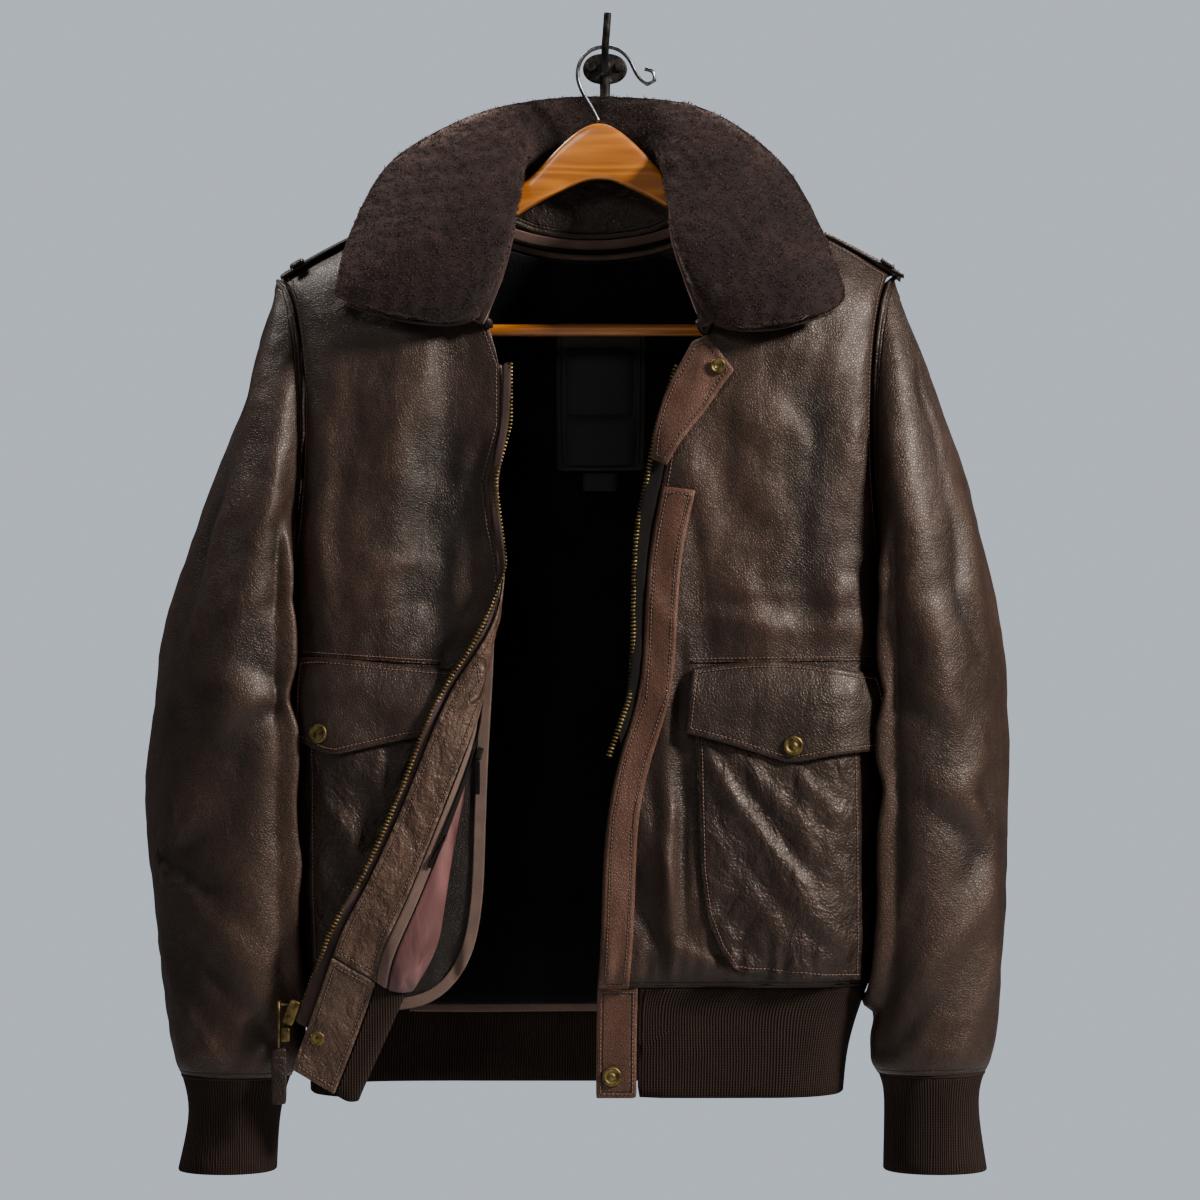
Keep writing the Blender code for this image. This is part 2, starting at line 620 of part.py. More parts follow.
def rod(name, points, radius, finish, smooth_sides=2):
    """A wire or bar of round section along a path."""
    curve = bpy.data.curves.new(name, "CURVE")
    curve.dimensions = "3D"
    curve.bevel_depth = radius * MM
    curve.bevel_resolution = smooth_sides
    curve.use_fill_caps = True
    line = curve.splines.new("POLY")
    line.points.add(len(points) - 1)
    for point, place_at in zip(line.points, points):
        point.co = (*(np.asarray(place_at) * MM), 1.0)
    guide = bpy.data.objects.new(name + "_guide", curve)
    jacket.objects.link(guide)
    bpy.context.view_layer.update()
    mesh = bpy.data.meshes.new_from_object(guide.evaluated_get(bpy.context.evaluated_depsgraph_get()))
    bpy.data.objects.remove(guide)
    work = bmesh.new()
    work.from_mesh(mesh)
    bmesh.ops.remove_doubles(work, verts=work.verts, dist=0.00001)
    bmesh.ops.recalc_face_normals(work, faces=work.faces)
    work.to_mesh(mesh)
    work.free()
    mesh.name = name
    mesh.materials.clear()
    return place(name, mesh, finish)


def disc(name, centre, normal, radius, depth, finish, bevel=0.0, sides=20):
    """A short round button whose back lies at the centre and whose face points along the normal."""
    work = bmesh.new()
    bmesh.ops.create_cone(
        work, cap_ends=True, segments=sides, radius1=radius * MM, radius2=radius * MM, depth=depth * MM
    )
    mesh = bpy.data.meshes.new(name)
    work.to_mesh(mesh)
    work.free()
    obj = place(name, mesh, finish)
    normal = np.asarray(normal, float) / np.linalg.norm(normal)
    obj.location = (np.asarray(centre) + normal * depth / 2) * MM
    obj.rotation_mode = "QUATERNION"
    obj.rotation_quaternion = Vector(normal).to_track_quat("Z", "Y")
    if bevel:
        edge = obj.modifiers.new("edge", "BEVEL")
        edge.width = bevel * MM
        edge.segments = 1
        edge.limit_method = "ANGLE"
    return obj


def cutter_of(obj, tool, operation="DIFFERENCE"):
    """Cut a tool's shape out of an object, or join it to it."""
    cutters.objects.link(tool)
    jacket.objects.unlink(tool)
    tool.hide_render = True
    tool.display_type = "WIRE"
    cut = obj.modifiers.new("cut", "BOOLEAN")
    cut.object = tool
    cut.operation = operation
    cut.solver = "EXACT"


SHOULDER_SPREAD = 1.1  # of each panel's outside from a shoulder seam's line
SIDE_SPREAD = 0.4  # the same at a side seam
SIDE_COLUMNS = steps(0, 1.8, 5, 10, 18, 28, 42)  # mm from the side seam, close where the body turns
SLEEVE_SIDES = 20
ARMHOLE_ANGLES = np.linspace(0, 180, SLEEVE_SIDES // 2 + 1)  # the panels' rows meet the sleeve's sides


# Columns near the front edge: on the left in mm, and on the right in widths of the facing.
PLACKET_COLUMNS = steps(0, 8.5, 17, 26)
FACING_COLUMNS = steps(0, 0.34, 0.67, 1, 1.27, 1.52, 1.77, 2.02, 2.27, 2.52, 2.8)
FACING_WIDTH = table("row width", (0, 24), (12, 26), (15, 28), (18, 32), (20, 36), (21, 38), (23, 38))


def facing_width(row):
    return column(FACING_WIDTH, "row", "width", row)


def front_columns(side, row):
    """Distances from the front edge of a row's columns, from the side seam to the edge."""
    width = float(front_width(side, row))
    near = PLACKET_COLUMNS if side == "left" else FACING_COLUMNS * float(facing_width(row))
    middle = np.linspace(width - SIDE_COLUMNS[-1], near[-1], 8 if side == "left" else 4)[1:-1]
    return np.concatenate([width - SIDE_COLUMNS, middle, near[::-1]])


def front_rows(side):
    """Rows of a front: down the armhole at the sleeve's sides, then those of its table."""
    rows = np.linspace(0, HEM_ROW, 2000)
    side_z = smooth(range(24), [r["side_z"] for r in FRONTS[side]], rows)
    upper = np.interp(-armhole(side, ARMHOLE_ANGLES)[..., 2], -side_z, rows)
    upper[0] = 0
    start = steps(12, 12.5, 13, 13.35, 13.7, 14, 14.5, 15) if side == "right" else np.arange(12, 16)
    return np.concatenate([upper, start, np.arange(16, HEM_ROW), [HEM_ROW - 0.03]])


def make_fronts():
    for side in SIDES:
        grid = np.array([front_surface(side, row, front_columns(side, row)) for row in front_rows(side)])
        grid[0, :, 1] -= SHOULDER_SPREAD
        grid[1:, 0, 1] -= SIDE_SPREAD
        cloth("front_" + side, grid, LEATHER, "leather", flip=side == "right")


def back_share(side, height):
    """How far down the back its side passes a height."""
    shares = np.linspace(0, 1, 2000)
    top = float(shoulder_height(side, SIDES[side]["shoulder_x"]))
    level = smooth([0, 0.1, 0.4, 1], [top, top - 34, UNDERARM_HEIGHT - 8, HEM_HEIGHT], shares)
    return np.interp(-height, -level, shares)


def make_back():
    outer = NECK_SHARE + (1 - NECK_SHARE) * (1 - steps(*SIDE_COLUMNS, 70, 107, 145) / 145)
    half = np.concatenate([outer, NECK_SHARE * steps(0.78, 0.42)])
    columns = np.concatenate([-half, [0.0], half[::-1]])
    shares = [back_share(side, armhole(side, -ARMHOLE_ANGLES)[..., 2]) for side in SIDES]
    lower = steps(0.47, 0.56, 0.65, 0.74, 0.82, 0.89, 0.95, 0.999)
    rows = np.concatenate([shares[0], lower])[:, None] * (columns < 0)
    rows = rows + np.concatenate([shares[1], lower])[:, None] * (columns >= 0)
    grid = back_surface(rows, columns[None, :])
    grid[0, :, 1] += SHOULDER_SPREAD
    grid[1:, [0, -1], 1] += SIDE_SPREAD
    cloth("back", grid, LEATHER, "leather")


ARMHOLE_GAP = 2.6
CUFF_RINGS = {
    "right": table(
        "z outer_x inner_x depth",
        (-793.0, -329, -243, 39),
        (-804, -325.5, -247, 37),
        (-825, -322, -252.5, 34),
        (-866.5, -332, -254, 36),
    ),
    "left": table(
        "z outer_x inner_x depth",
        (-791.0, 295, 211, 39),
        (-803, 290.5, 216, 37),
        (-825, 290, 216, 34),
        (-866.5, 297, 215, 36),
    ),
}
CUFF_WALL = 3.0
WRIST_Y = -88.0


def make_sleeves():
    angles = np.arange(SLEEVE_SIDES) * 360.0 / SLEEVE_SIDES - 180
    for side, rows in SLEEVES.items():
        rings = steps(0, 1, 2, 3.2, 4.4, 5.6, 7, 8.4, 9.8, 11.2, 12.6, 14, 15, 16)
        grid = sleeve_surface(side, rings[:, None], angles[None, :])
        grid[0, :, 0] += SIDES[side]["sign"] * ARMHOLE_GAP
        cloth("sleeve_" + side, grid, LEATHER, "leather", flip=side == "right", closed=True)
        turn = np.radians(angles)
        cuff = []
        for r in CUFF_RINGS[side]:
            middle = (r["outer_x"] + r["inner_x"]) / 2
            half = (r["outer_x"] - r["inner_x"]) / 2
            bulge = np.abs(np.sin(turn)) ** 0.9 * np.sign(np.sin(turn))
            ring = [middle + half * np.cos(turn), WRIST_Y - r["depth"] * bulge, turn * 0 + r["z"]]
            cuff.append(np.stack(ring, axis=-1))
        cloth("cuff_" + side, np.array(cuff), CUFF_WALL, "knit", flip=side == "right", closed=True)


KNIT_WALL = 3.0
TAB_WIDTH = {"right": 38.0, "left": 31.0}  # of the leather at the waistband's ends
KNIT_ROWS = steps(HEM_ROW + 0.02, 21.4, 22.2, 23)


def make_waistband():
    lines = []
    for row in KNIT_ROWS:
        width = float(front_width("left", row))
        away = np.linspace(TAB_WIDTH["left"] + 0.9, width - 42, 7)
        away = np.concatenate([away, width - SIDE_COLUMNS[5:1:-1]])
        left = front_surface("left", row, away)
        z = float(smooth(range(len(LEFT_FRONT)), [r["side_z"] for r in LEFT_FRONT], row))
        right_x = float(column(SIDE_SEAM, "height", "right", z))
        left_x = float(column(SIDE_SEAM, "height", "left", z))
        at = np.concatenate([left_x - steps(0, 3, 9, 18, 32), np.linspace(left_x - 60, right_x + 60, 8)])
        at = np.concatenate([at, right_x + steps(32, 18, 9, 3, 0)])
        behind = np.stack([at, back_depth(at, z + 0 * at), z + 0 * at], axis=-1)
        width = float(front_width("right", row))
        away = np.linspace(width - 42, TAB_WIDTH["right"] + 0.9, 11)
        away = np.concatenate([width - SIDE_COLUMNS[2:6], away])
        right = front_surface("right", row, away)
        lines.append(np.concatenate([left, behind, right]))
    cloth("waistband", np.array(lines), KNIT_WALL, "knit", flip=True)
    for side in SIDES:
        away = np.linspace(0, TAB_WIDTH[side], 5)
        grid = front_surface(side, KNIT_ROWS[:, None], away[None, :])
        cloth("waist_tab_" + side, grid, 2.4, "leather", flip=side == "left")


def make_collar():
    s = np.concatenate([steps(0.0, 0.035), np.arange(2, 27) / 28, steps(0.965, 1.0)])
    foot = 0.03 + 0.07 * ramp(0.1, 0.17, np.abs(s - 0.5))
    up = np.stack([foot, 0 * s + 0.5, 0 * s + 0.97])
    cloth("collar_stand", stand_surface(s[None, :], up), STAND_WALL, "leather", flip=True)
    out = steps(0.06, 0.3, 0.62, 0.94)
    cloth("under_collar", leaf_surface(s[None, :], out[:, None]), 1.6, "leather")
    over = np.linspace(0, 1, 7)
    t_top = 0.05 + 0.97 * over
    plump = (1 - np.abs(2 * over - 1) ** 4) ** 0.5
    rings = []
    for place_s in s:
        end = min(1.0, 0.35 + 0.65 * float(rounding(min(place_s, 1 - place_s) / 0.05)))
        end = end * (0.45 + 0.55 * float(ramp(0.06, 0.24, abs(place_s - 0.5))))
        top_lift = SEAM_GAP + 3.5 + (FUR_DEPTH - 3.5) * plump * end
        top = lifted(leaf_surface, place_s, t_top, top_lift, 1, 0.004, 0.01)
        low = lifted(leaf_surface, place_s, out[::-1], SEAM_GAP + 0.4, 1, 0.004, 0.01)
        rings.append(np.concatenate([top, low]))
    body_of("collar_fur", np.array(rings), "fur", flip=True)


STRAP_WALL = 2.2
STRAP_DROP = 4.0  # of the strap's edges below the shoulder seam


def make_epaulettes():
    across = steps(-1, -0.75, -0.4, 0, 0.4, 0.75, 1)
    for side, s in SIDES.items():
        sign = s["sign"]
        ends = {"epaulette_": (50, 95, 132, 145, 150), "epaulette_loop_": (133, 142)}
        for name, reach in ends.items():
            extra = STRAP_WALL - 0.5 + (STRAP_WALL + 0.9 if "loop" in name else 0)
            wide = 1.0 if "loop" in name else 0.9
            grid = []
            for r in reach:
                x = s["neck_x"] + sign * r + 0 * across
                z = shoulder_height(side, x) - STRAP_DROP * (across * wide) ** 2
                y = np.where(across < 0, front_depth(side, x, z), back_depth(x, z))
                y = np.where(across == 0, RIDGE_Y, y)
                out = 1.5 * np.sign(across) * (extra - STRAP_WALL + 0.5)
                grid.append(np.stack([x, y + out, z + extra], axis=-1))
            cloth(name + side, np.array(grid), STRAP_WALL, "leather", flip=side == "right")


POCKETS = {
    "left": table(
        "z inner_x outer_x",
        (-500, 67, 192),
        (-545, 69, 193),
        (-590, 70, 194),
        (-631, 71, 195),
        (-665, 76, 195),
        (-690, 86, 195),
        (-707, 97, 194),
    ),
    "right": table(
        "z inner_x outer_x",
        (-500, -112, -226),
        (-545, -119, -226),
        (-590, -130, -226),
        (-631, -137, -225),
        (-665, -144, -224),
        (-690, -152, -222),
        (-705, -160, -220),
    ),
}
FLAPS = {
    "left": table(
        "x_top x_foot z_top z_foot",
        (66, 60, -477, -527.5),
        (83, 79, -475, -531),
        (100, 98, -473, -536.5),
        (117, 117, -472, -542.5),
        (131, 133, -472, -548),
        (143, 143, -473, -549.5),
        (156, 155, -474, -547.5),
        (174, 174, -477, -543),
        (192, 192, -480, -541.5),
        (207, 208, -482, -541),
    ),
    "right": table(
        "x_top x_foot z_top z_foot",
        (-233, -234, -470, -533),
        (-224, -225, -469, -535),
        (-212, -212, -469, -541),
        (-200, -203, -470, -543.5),
        (-188, -190, -471, -540),
        (-170, -172, -473, -536),
        (-152, -154, -475, -532),
        (-134, -137, -477, -529),
        (-118, -121, -478, -527),
        (-103, -110, -479, -524),
    ),
}
POCKET_WALL = 1.8
FLAP_WALL = 2.6
FLAP_LIFT = 1.0 + FLAP_WALL
FLAP_RISE = 7.0  # where it passes over the pocket's mouth


def make_pockets():
    for side, rows in POCKETS.items():
        across = np.linspace(0, 1, 8)
        z = np.array([r["z"] for r in rows])[:, None]
        inner = np.array([r["inner_x"] for r in rows])[:, None]
        outer = np.array([r["outer_x"] for r in rows])[:, None]
        x = inner + (outer - inner) * across
        z = z - 0.08 * np.abs(x - inner) * ramp(-640, -707, z)
        down = np.linspace(0, 1, len(rows))[:, None]
        puff = ramp(0, 0.25, across) * ramp(0, 0.25, 1 - across) * ramp(0, 0.3, 1 - down)
        lift = 1.5 + POCKET_WALL + 2.1 * puff + 1.4 * ramp(0.6, 1, down)
        cloth("pocket_" + side, on_front(side, x, z, lift), POCKET_WALL, "leather", flip=side == "left")
    for side, rows in FLAPS.items():
        down = np.linspace(0, 1, 5)
        get = lambda name: np.array([r[name] for r in rows])[None, :]
        x = get("x_top") + (get("x_foot") - get("x_top")) * down[:, None]
        z = get("z_top") + (get("z_foot") - get("z_top")) * down[:, None]
        lift = FLAP_LIFT + FLAP_RISE * ramp(0, 0.35, down)[:, None] * ramp(240, 222, np.abs(x))
        cloth("pocket_flap_" + side, on_front(side, x, z, lift), FLAP_WALL, "leather", flip=True)


STUDS = table("right_x right_z left_x left_z", (-214, -527, 143, -536.5))
STUD_RADIUS = 7.6


def press_stud(name, place_at, further, radius=STUD_RADIUS, depth=2.2):
    """A stud's cap on a piece: the point of the face below it, and a point above that."""
    disc(name, place_at, further - place_at, radius, depth, "brass", bevel=depth * 0.3, sides=16)


def make_studs():
    for side, s in SIDES.items():
        x, z = STUDS[0][side + "_x"], STUDS[0][side + "_z"]
        flap = FLAP_LIFT + FLAP_RISE
        low, high = on_front(side, x, z, flap + 0.4), on_front(side, x, z, flap + 3)
        press_stud("pocket_stud_" + side, low, high)
    spot = lambda lift: in_front("left", 22.62, 12.0, lift)
    press_stud("waist_stud_left", spot(0.4), spot(2))
    spot = lambda lift: in_front("right", 22.35, 10.0, lift)
    press_stud("waist_stud_right", spot(-2.8), spot(-4), radius=5.5, depth=1.0)


PLACKET_WIDTH = 25.0
LAPEL = table(
    "edge_x edge_z free_x free_z lift",
    (66, -228, 78, -223, 3.6),
    (60, -240, 99, -250, 6.5),
    (50, -257, 91, -262, 7.0),
    (42, -276, 74, -282, 6.0),
    (37, -297, 59, -302, 5.0),
    (35, -318, 48, -323, 4.6),
)
LAPEL_WALL = 2.0


def make_placket():
    rows = front_rows("left")[7:]
    away = np.minimum(np.maximum(PLACKET_COLUMNS, 0.3), PLACKET_WIDTH)
    grid = in_front("left", rows[:, None], away[None, :], np.full((len(rows), 4), 1.5 + 1.5))
    cloth("placket_left", grid, 1.5, "leather_red", flip=True)
    across = np.linspace(0, 1, 6)
    get = lambda name: np.array([r[name] for r in LAPEL])[:, None]
    x = get("edge_x") + (get("free_x") - get("edge_x")) * across
    z = get("edge_z") + (get("free_z") - get("edge_z")) * across
    lift = 2.6 + (get("lift") - 2.6) * ramp(0, 0.5, across) + LAPEL_WALL
    cloth("lapel_left", on_front("left", x, z, lift), LAPEL_WALL, "leather", flip=True)
    spot = lambda extra: on_front("left", 86, -246, 6.4 + LAPEL_WALL + extra)
    press_stud("lapel_socket", spot(0.9), spot(3), radius=6.0, depth=1.6)


def make_facing():
    """The inside of the right front: leather facing, the binding on its edge, and satin beyond."""
    rows = front_rows("right")[5:]
    under = LEATHER + 0.7
    spread = lambda shares, at: shares[None, :] * facing_width(at)[:, None]
    layer = lambda at, away, lift: in_front("right", at[:, None] + 0 * away, away, lift + 0 * away)
    away = np.maximum(spread(FACING_COLUMNS[:4], rows), 0.5)
    cloth("facing_right", layer(rows, away, -under), 1.2, "leather")
    away = spread(steps(1.025, 1.27), rows)
    cloth("facing_binding", layer(rows, away, -under), 1.2, "binding")
    rows = rows[6:]
    shares = steps(1.3, 1.52, 1.77, 2.02, 2.27, 2.52, 2.8)
    away = spread(shares, rows)
    puff = np.sin(math.pi * np.linspace(0, 1, 7)) * (1.8 + 1.4 * np.sin(rows[:, None] * 2.1))
    cloth("satin_lining", layer(rows, away, -under - 0.6 - puff), 1.0, "satin")


def beyond_edge(side, row, reach, lift):
    """Points past a front's edge, as far as the zip's tape sticks out."""
    row, reach = np.broadcast_arrays(np.asarray(row, float), np.asarray(reach, float))
    edge, inside = in_front(side, row, 0 * reach, lift), in_front(side, row, 0 * reach + 3, lift)
    run = edge - inside
    return edge + run / np.linalg.norm(run, axis=-1, keepdims=True) * reach[..., None]


TAPE_REACH = {
    "right": table("row reach", (0, 7), (12, 7), (20, 9), (21, 10.6), (23, 10.6)),
    "left": table("row reach", (0, 8), (5, 9), (9, 13), (12, 9), (16, 8), (21, 8)),
}
SLIDER_ROW = 22.2
SLIDER_REACH = 15.6  # past the front's edge, beside the tape


def make_zip():
    for side, rows in TAPE_REACH.items():
        row = np.concatenate([front_rows(side)[5:-1], [22.0, 22.3] if side == "right" else [20.9]])
        reach = column(rows, "row", "reach", row)[:, None]
        grid = beyond_edge(side, row[:, None], 0.5 + (reach - 0.5) * np.linspace(0, 1, 2), -0.3)
        cloth("zip_tape_" + side, grid, 1.3, "tape", flip=side == "left")


def box_of(name, centre, size, finish, bevel=0.8, down=(0.0, 0.0, -1.0)):
    """A small block with eased edges, its height along a direction."""
    work = bmesh.new()
    bmesh.ops.create_cube(work, size=1.0)
    bmesh.ops.scale(work, vec=Vector(size) * MM, verts=work.verts)
    mesh = bpy.data.meshes.new(name)
    work.to_mesh(mesh)
    work.free()
    obj = place(name, mesh, finish)
    obj.location = np.asarray(centre) * MM
    obj.rotation_mode = "QUATERNION"
    obj.rotation_quaternion = Vector((0, 0, -1)).rotation_difference(Vector(down))
    if bevel:
        edge = obj.modifiers.new("edge", "BEVEL")
        edge.width = bevel * MM
        edge.segments = 1
    return obj


PULL_LINK = (1.6, 8.0, 36.0)  # thickness, width and length of the metal pull
PULL_TAB = (12.0, 3.6, 43.0)  # of the leather tab below it
HINGE_RADIUS = 1.1


def make_slider():
    spot = beyond_edge("right", SLIDER_ROW, SLIDER_REACH, -0.8)
    along = beyond_edge("right", SLIDER_ROW + 0.2, SLIDER_REACH, -0.8) - spot
    down = along / np.linalg.norm(along)
    slider = box_of("zip_slider", spot, (9.0, 7.0, 20.0), "brass", 1.2, down)
    box_of("zip_retainer", spot + down * 17.0 + [1.5, 0, -0.9], (7.0, 5.0, 11.0), "brass", 0.8)
    hinge = spot + np.array([-9.6, 0.0, 6.0])
    line = [spot + np.array([-2, 0, 6.0]), hinge + np.array([-1.6, 0, 0])]
    bridge = rod("bridge_shape", line, HINGE_RADIUS, "brass")
    cutter_of(slider, bridge, "UNION")
    middle = hinge + np.array([0, 0, 3.2 - PULL_LINK[2] / 2])
    link = box_of("zip_pull", middle, PULL_LINK, "brass", 0)
    hole = disc("zip_pull_hole", hinge - np.array([3, 0, 0]), (1, 0, 0), HINGE_RADIUS + 0.9, 6.0, "brass")
    cutter_of(link, hole)
    foot = middle[2] - PULL_LINK[2] / 2 - SEAM_GAP - PULL_TAB[2] / 2
    box_of("pull_tab", (hinge[0], hinge[1], foot), PULL_TAB, "leather_red", 1.2)
    return hinge


# ---- liner -----------------------------------------------------------------------------------
PILE = 4.0
LINER_EDGE = table(
    "z x",
    (-250, -100),
    (-330, -103),
    (-400, -92),
    (-440, -84),
    (-503, -87),
    (-548, -90),
    (-619, -92),
    (-650, -93),
    (-680, -97),
    (-700, -103),
    (-718, -113),
    (-734, -130),
    (-740, -152),
)
LINER_DEEP = 13.0  # behind the outside of the front


def liner_front(side, x, z, lift):
    """Points on a liner front, which hangs behind the leather one."""
    x, z = np.broadcast_arrays(np.asarray(x, float), np.asarray(z, float))
    seat = lambda a, b: 9.1 * ramp(26, 1, np.abs(a - LINER_REACH[side])) * ramp(-690, -630, b)
    clear = lambda a, b: LINER_DEEP - seat(a, b) + 8 * ramp(-670, -715, b)
    depth = lambda a, b: front_depth(side, a, np.maximum(b, -680.0)) + clear(a, b)
    surface = lambda a, b: np.stack([a, depth(a, b), b], axis=-1)
    return lifted(surface, x, z, lift, outward=1, du=1.0, dv=1.0)


def liner_back(x, z, lift):
    """Points inside the back; at the hem the liner hangs clear of the knit."""
    clear = 15 * ramp(-640, -715, z)
    at = on_back(x, np.maximum(z, -680.0), lift)
    return at * [1, 1, 0] + np.stack([0 * x, -clear, z], axis=-1)


LINER_REACH = {"right": -200, "left": 158}  # x at which the liner's fronts end, near the side seams
LINER_TOP = 20.0  # of the liner's back, below the neck seam
LINER_FOOT = -744.0


def make_liner():
    z = np.array([r["z"] for r in LINER_EDGE], float)[:, None]
    x = np.array([r["x"] for r in LINER_EDGE], float)[:, None]
    across = steps(0, 0.12, 0.35, 0.6, 0.8, 0.92, 1)
    for side, reach in LINER_REACH.items():
        start = x if side == "right" else 0.55 * (CENTRE_X * 2 - x) + 22
        grid = liner_front(side, start + (reach - start) * across, z, 0 * (x + across))
        cloth("liner_front_" + side, grid, PILE, "pile", flip=side == "left")
    path = np.concatenate([np.stack([x[3:, 0], z[3:, 0]], 1), [[-175, -741.5]]])
    run = np.gradient(path, axis=0)
    run /= np.linalg.norm(run, axis=1, keepdims=True)
    inward = np.stack([run[:, 1], -run[:, 0]], 1)
    strip = path[:, None, :] + inward[:, None, :] * steps(0.2, 4.5, 9)[None, :, None]
    grid = liner_front("right", strip[..., 0], strip[..., 1], np.full(strip.shape[:2], 2.4))
    cloth("liner_front_binding", grid, 1.2, "binding")
    half = np.linspace(-1, 1, 15)
    grid = []
    for w in steps(0, 0.06, 0.14, 0.24, 0.36, 0.48, 0.6, 0.72, 0.84, 0.93, 1):
        level = -158 - 590 * w
        span = np.interp(level, [-748, -600, -420, -300, -200, -158], [166, 192, 200, 176, 146, 62])
        at = -17.0 + span * half
        z = (neck_line(at) - LINER_TOP) * (1 - w) + LINER_FOOT * w
        grid.append(liner_back(at, z, np.full(at.shape, -(LEATHER + 3.5))))
    cloth("liner_back", np.array(grid), PILE, "pile", flip=False)
    at = np.linspace(-155, 130, 12)
    foot = np.stack([at, at, at]) * 0 + LINER_FOOT + steps(-0.3, -3.5, -7)[:, None]
    cloth("liner_hem_binding", liner_back(at + 0 * foot, foot, 0 * foot - 4.5), 2.4, "binding", flip=False)


NECK_BAND = 17.0  # below the neck seam, of the band that carries the liner's zip
PANEL = dict(left=-38.0, right=33.0, top=-205.0, foot=-323.0)
PATCHES = table(
    "left right top foot lift",
    (-29, 21, -226, -279, 2.1),
    (-29, 24, -282, -319, 2.9),
    (-17, 9, -324.5, -339, -0.6),
)


def make_back_neck():
    at = np.linspace(-76, 54, 13)
    down = steps(0.8, 6, 11, NECK_BAND)
    z = neck_line(at)[None, :] - down[:, None]
    x = at[None, :] + 0 * z
    cloth("neck_band", on_back(x, z, 0 * x - LEATHER - 0.8), 1.2, "binding", flip=False)
    z = neck_line(at)[None, :] - steps(8, 9.8, 11.6)[:, None]
    bulge = steps(0, 0.6, 0)[:, None]
    layer = 0 * z - LEATHER - 1.2 - 1.4 - bulge
    cloth("neck_zip", on_back(at[None, :] + 0 * z, z, layer), 1.4, "tape", flip=False)
    pile = LEATHER + 3.5 + PILE + 1.2
    across, down = np.linspace(0, 1, 4), np.linspace(0, 1, 4)
    boxes = {"label_panel": (PANEL, pile, 1.4, "leather_black")}
    for i, patch in enumerate(PATCHES):
        boxes["label_patch_" + "abc"[i]] = (patch, pile + patch["lift"], 0.8, "tape")
    for name, (r, under, wall, finish) in boxes.items():
        x = r["left"] + (r["right"] - r["left"]) * across[None, :] + 0 * down[:, None]
        z = r["top"] + (r["foot"] - r["top"]) * down[:, None] + 0 * x
        cloth(name, on_back(x, z, 0 * x - under), wall, finish, flip=False)


def make_liner_zip():
    """The liner's front zip, parked on the edge of the facing's binding."""
    rows = front_rows("right")
    rows = rows[(rows > 13.8) & (rows < 17.5)]
    deep = LEATHER + 0.7 + 1.2 + 0.9
    at = lambda row, share, lift: in_front("right", row, share * facing_width(row), lift + 0 * row)
    strip = at(rows[:, None], steps(1.17, 1.27)[None, :], -deep)
    cloth("liner_zip_tape", strip, 1.0, "leather_black")
    row = np.array(14.9)
    spot, below = at(row, 1.24, -deep - 4.0), at(row + 0.3, 1.24, -deep - 4.0)
    down = (below - spot) / np.linalg.norm(below - spot)
    box_of("liner_zip_slider", spot, (5.0, 3.0, 10), "iron", 0.6, down)
    box_of("liner_zip_pull", spot + down * 5.3 + [0, -0.6, -13.2], (4.4, 1.6, 26), "iron", 0.4)


# ---- hanger and wall hook ----------------------------------------------------------------------
HANGER_X, HANGER_Y = -5.0, -58.5
ARM = table(
    "out top foot thick",
    (0, -51, -96, 11),
    (9, -53, -96.5, 11),
    (20, -60, -100.5, 11),
    (32, -71, -106.5, 11),
    (44, -84, -112.5, 11),
    (56, -98, -119.5, 11),
    (80, -108.6, -134, 11),
    (110, -118.5, -154, 13),
    (150, -134.6, -181, 14),
    (185, -151, -207, 15),
    (205, -162.5, -222, 15),
    (214, -172, -223, 13),
    (217, -184, -216, 9),
)
BAR_HEIGHT, BAR_RADIUS = -214.0, 5.0


def make_hanger():
    rings = []
    corner = steps(0.5, 1, 1, 0.5, -0.5, -1, -1, -0.5), steps(1, 0.86, -0.86, -1, -1, -0.86, 0.86, 1)
    for sign, rows in ((-1, ARM[:0:-1]), (1, ARM)):
        for r in rows:
            middle, half = (r["top"] + r["foot"]) / 2, (r["top"] - r["foot"]) / 2
            round_off = 1 - (1 - np.abs(corner[1])) * 22 / half
            z = middle + half * np.sign(corner[1]) * round_off
            y = HANGER_Y - r["thick"] / 2 * corner[0]
            rings.append(np.stack([z * 0 + HANGER_X + sign * r["out"], y, z], axis=-1))
    wood = body_of("hanger_wood", np.array(rings), "wood", flip=True)
    end = 205.0
    bars = (("bar_seat", BAR_RADIUS + SEAM_GAP, end + 1), ("hanger_bar", BAR_RADIUS, end))
    for name, radius, reach in bars:
        line = [(HANGER_X - reach, HANGER_Y, BAR_HEIGHT), (HANGER_X + reach, HANGER_Y, BAR_HEIGHT)]
        rod(name, line, radius, "wood", smooth_sides=3)
    cutter_of(wood, bpy.data.objects["bar_seat"])
    wire = [(-5, -50.6), (-9, -42), (-17, -29), (-22, -14), (-18, 0), (-9, 7), (2, 8.5), (13, 5), (20, -3)]
    wire += [(24, -12), (29, -19), (34.5, -21.5), (39, -18), (38, -11), (31, -9)]
    rod("hanger_hook", rounded([(x, HANGER_Y, z) for x, z in wire], 1.4), 1.75, "steel")


def rounded(points, every=1.6):
    """A path through the points with its corners eased."""
    points = np.asarray(points, float)
    run = np.concatenate([[0], np.cumsum(np.linalg.norm(np.diff(points, axis=0), axis=1))])
    at = np.linspace(0, run[-1], int(every * len(points)))
    return np.stack([smooth(run, points[:, i], at) for i in range(3)], axis=1)


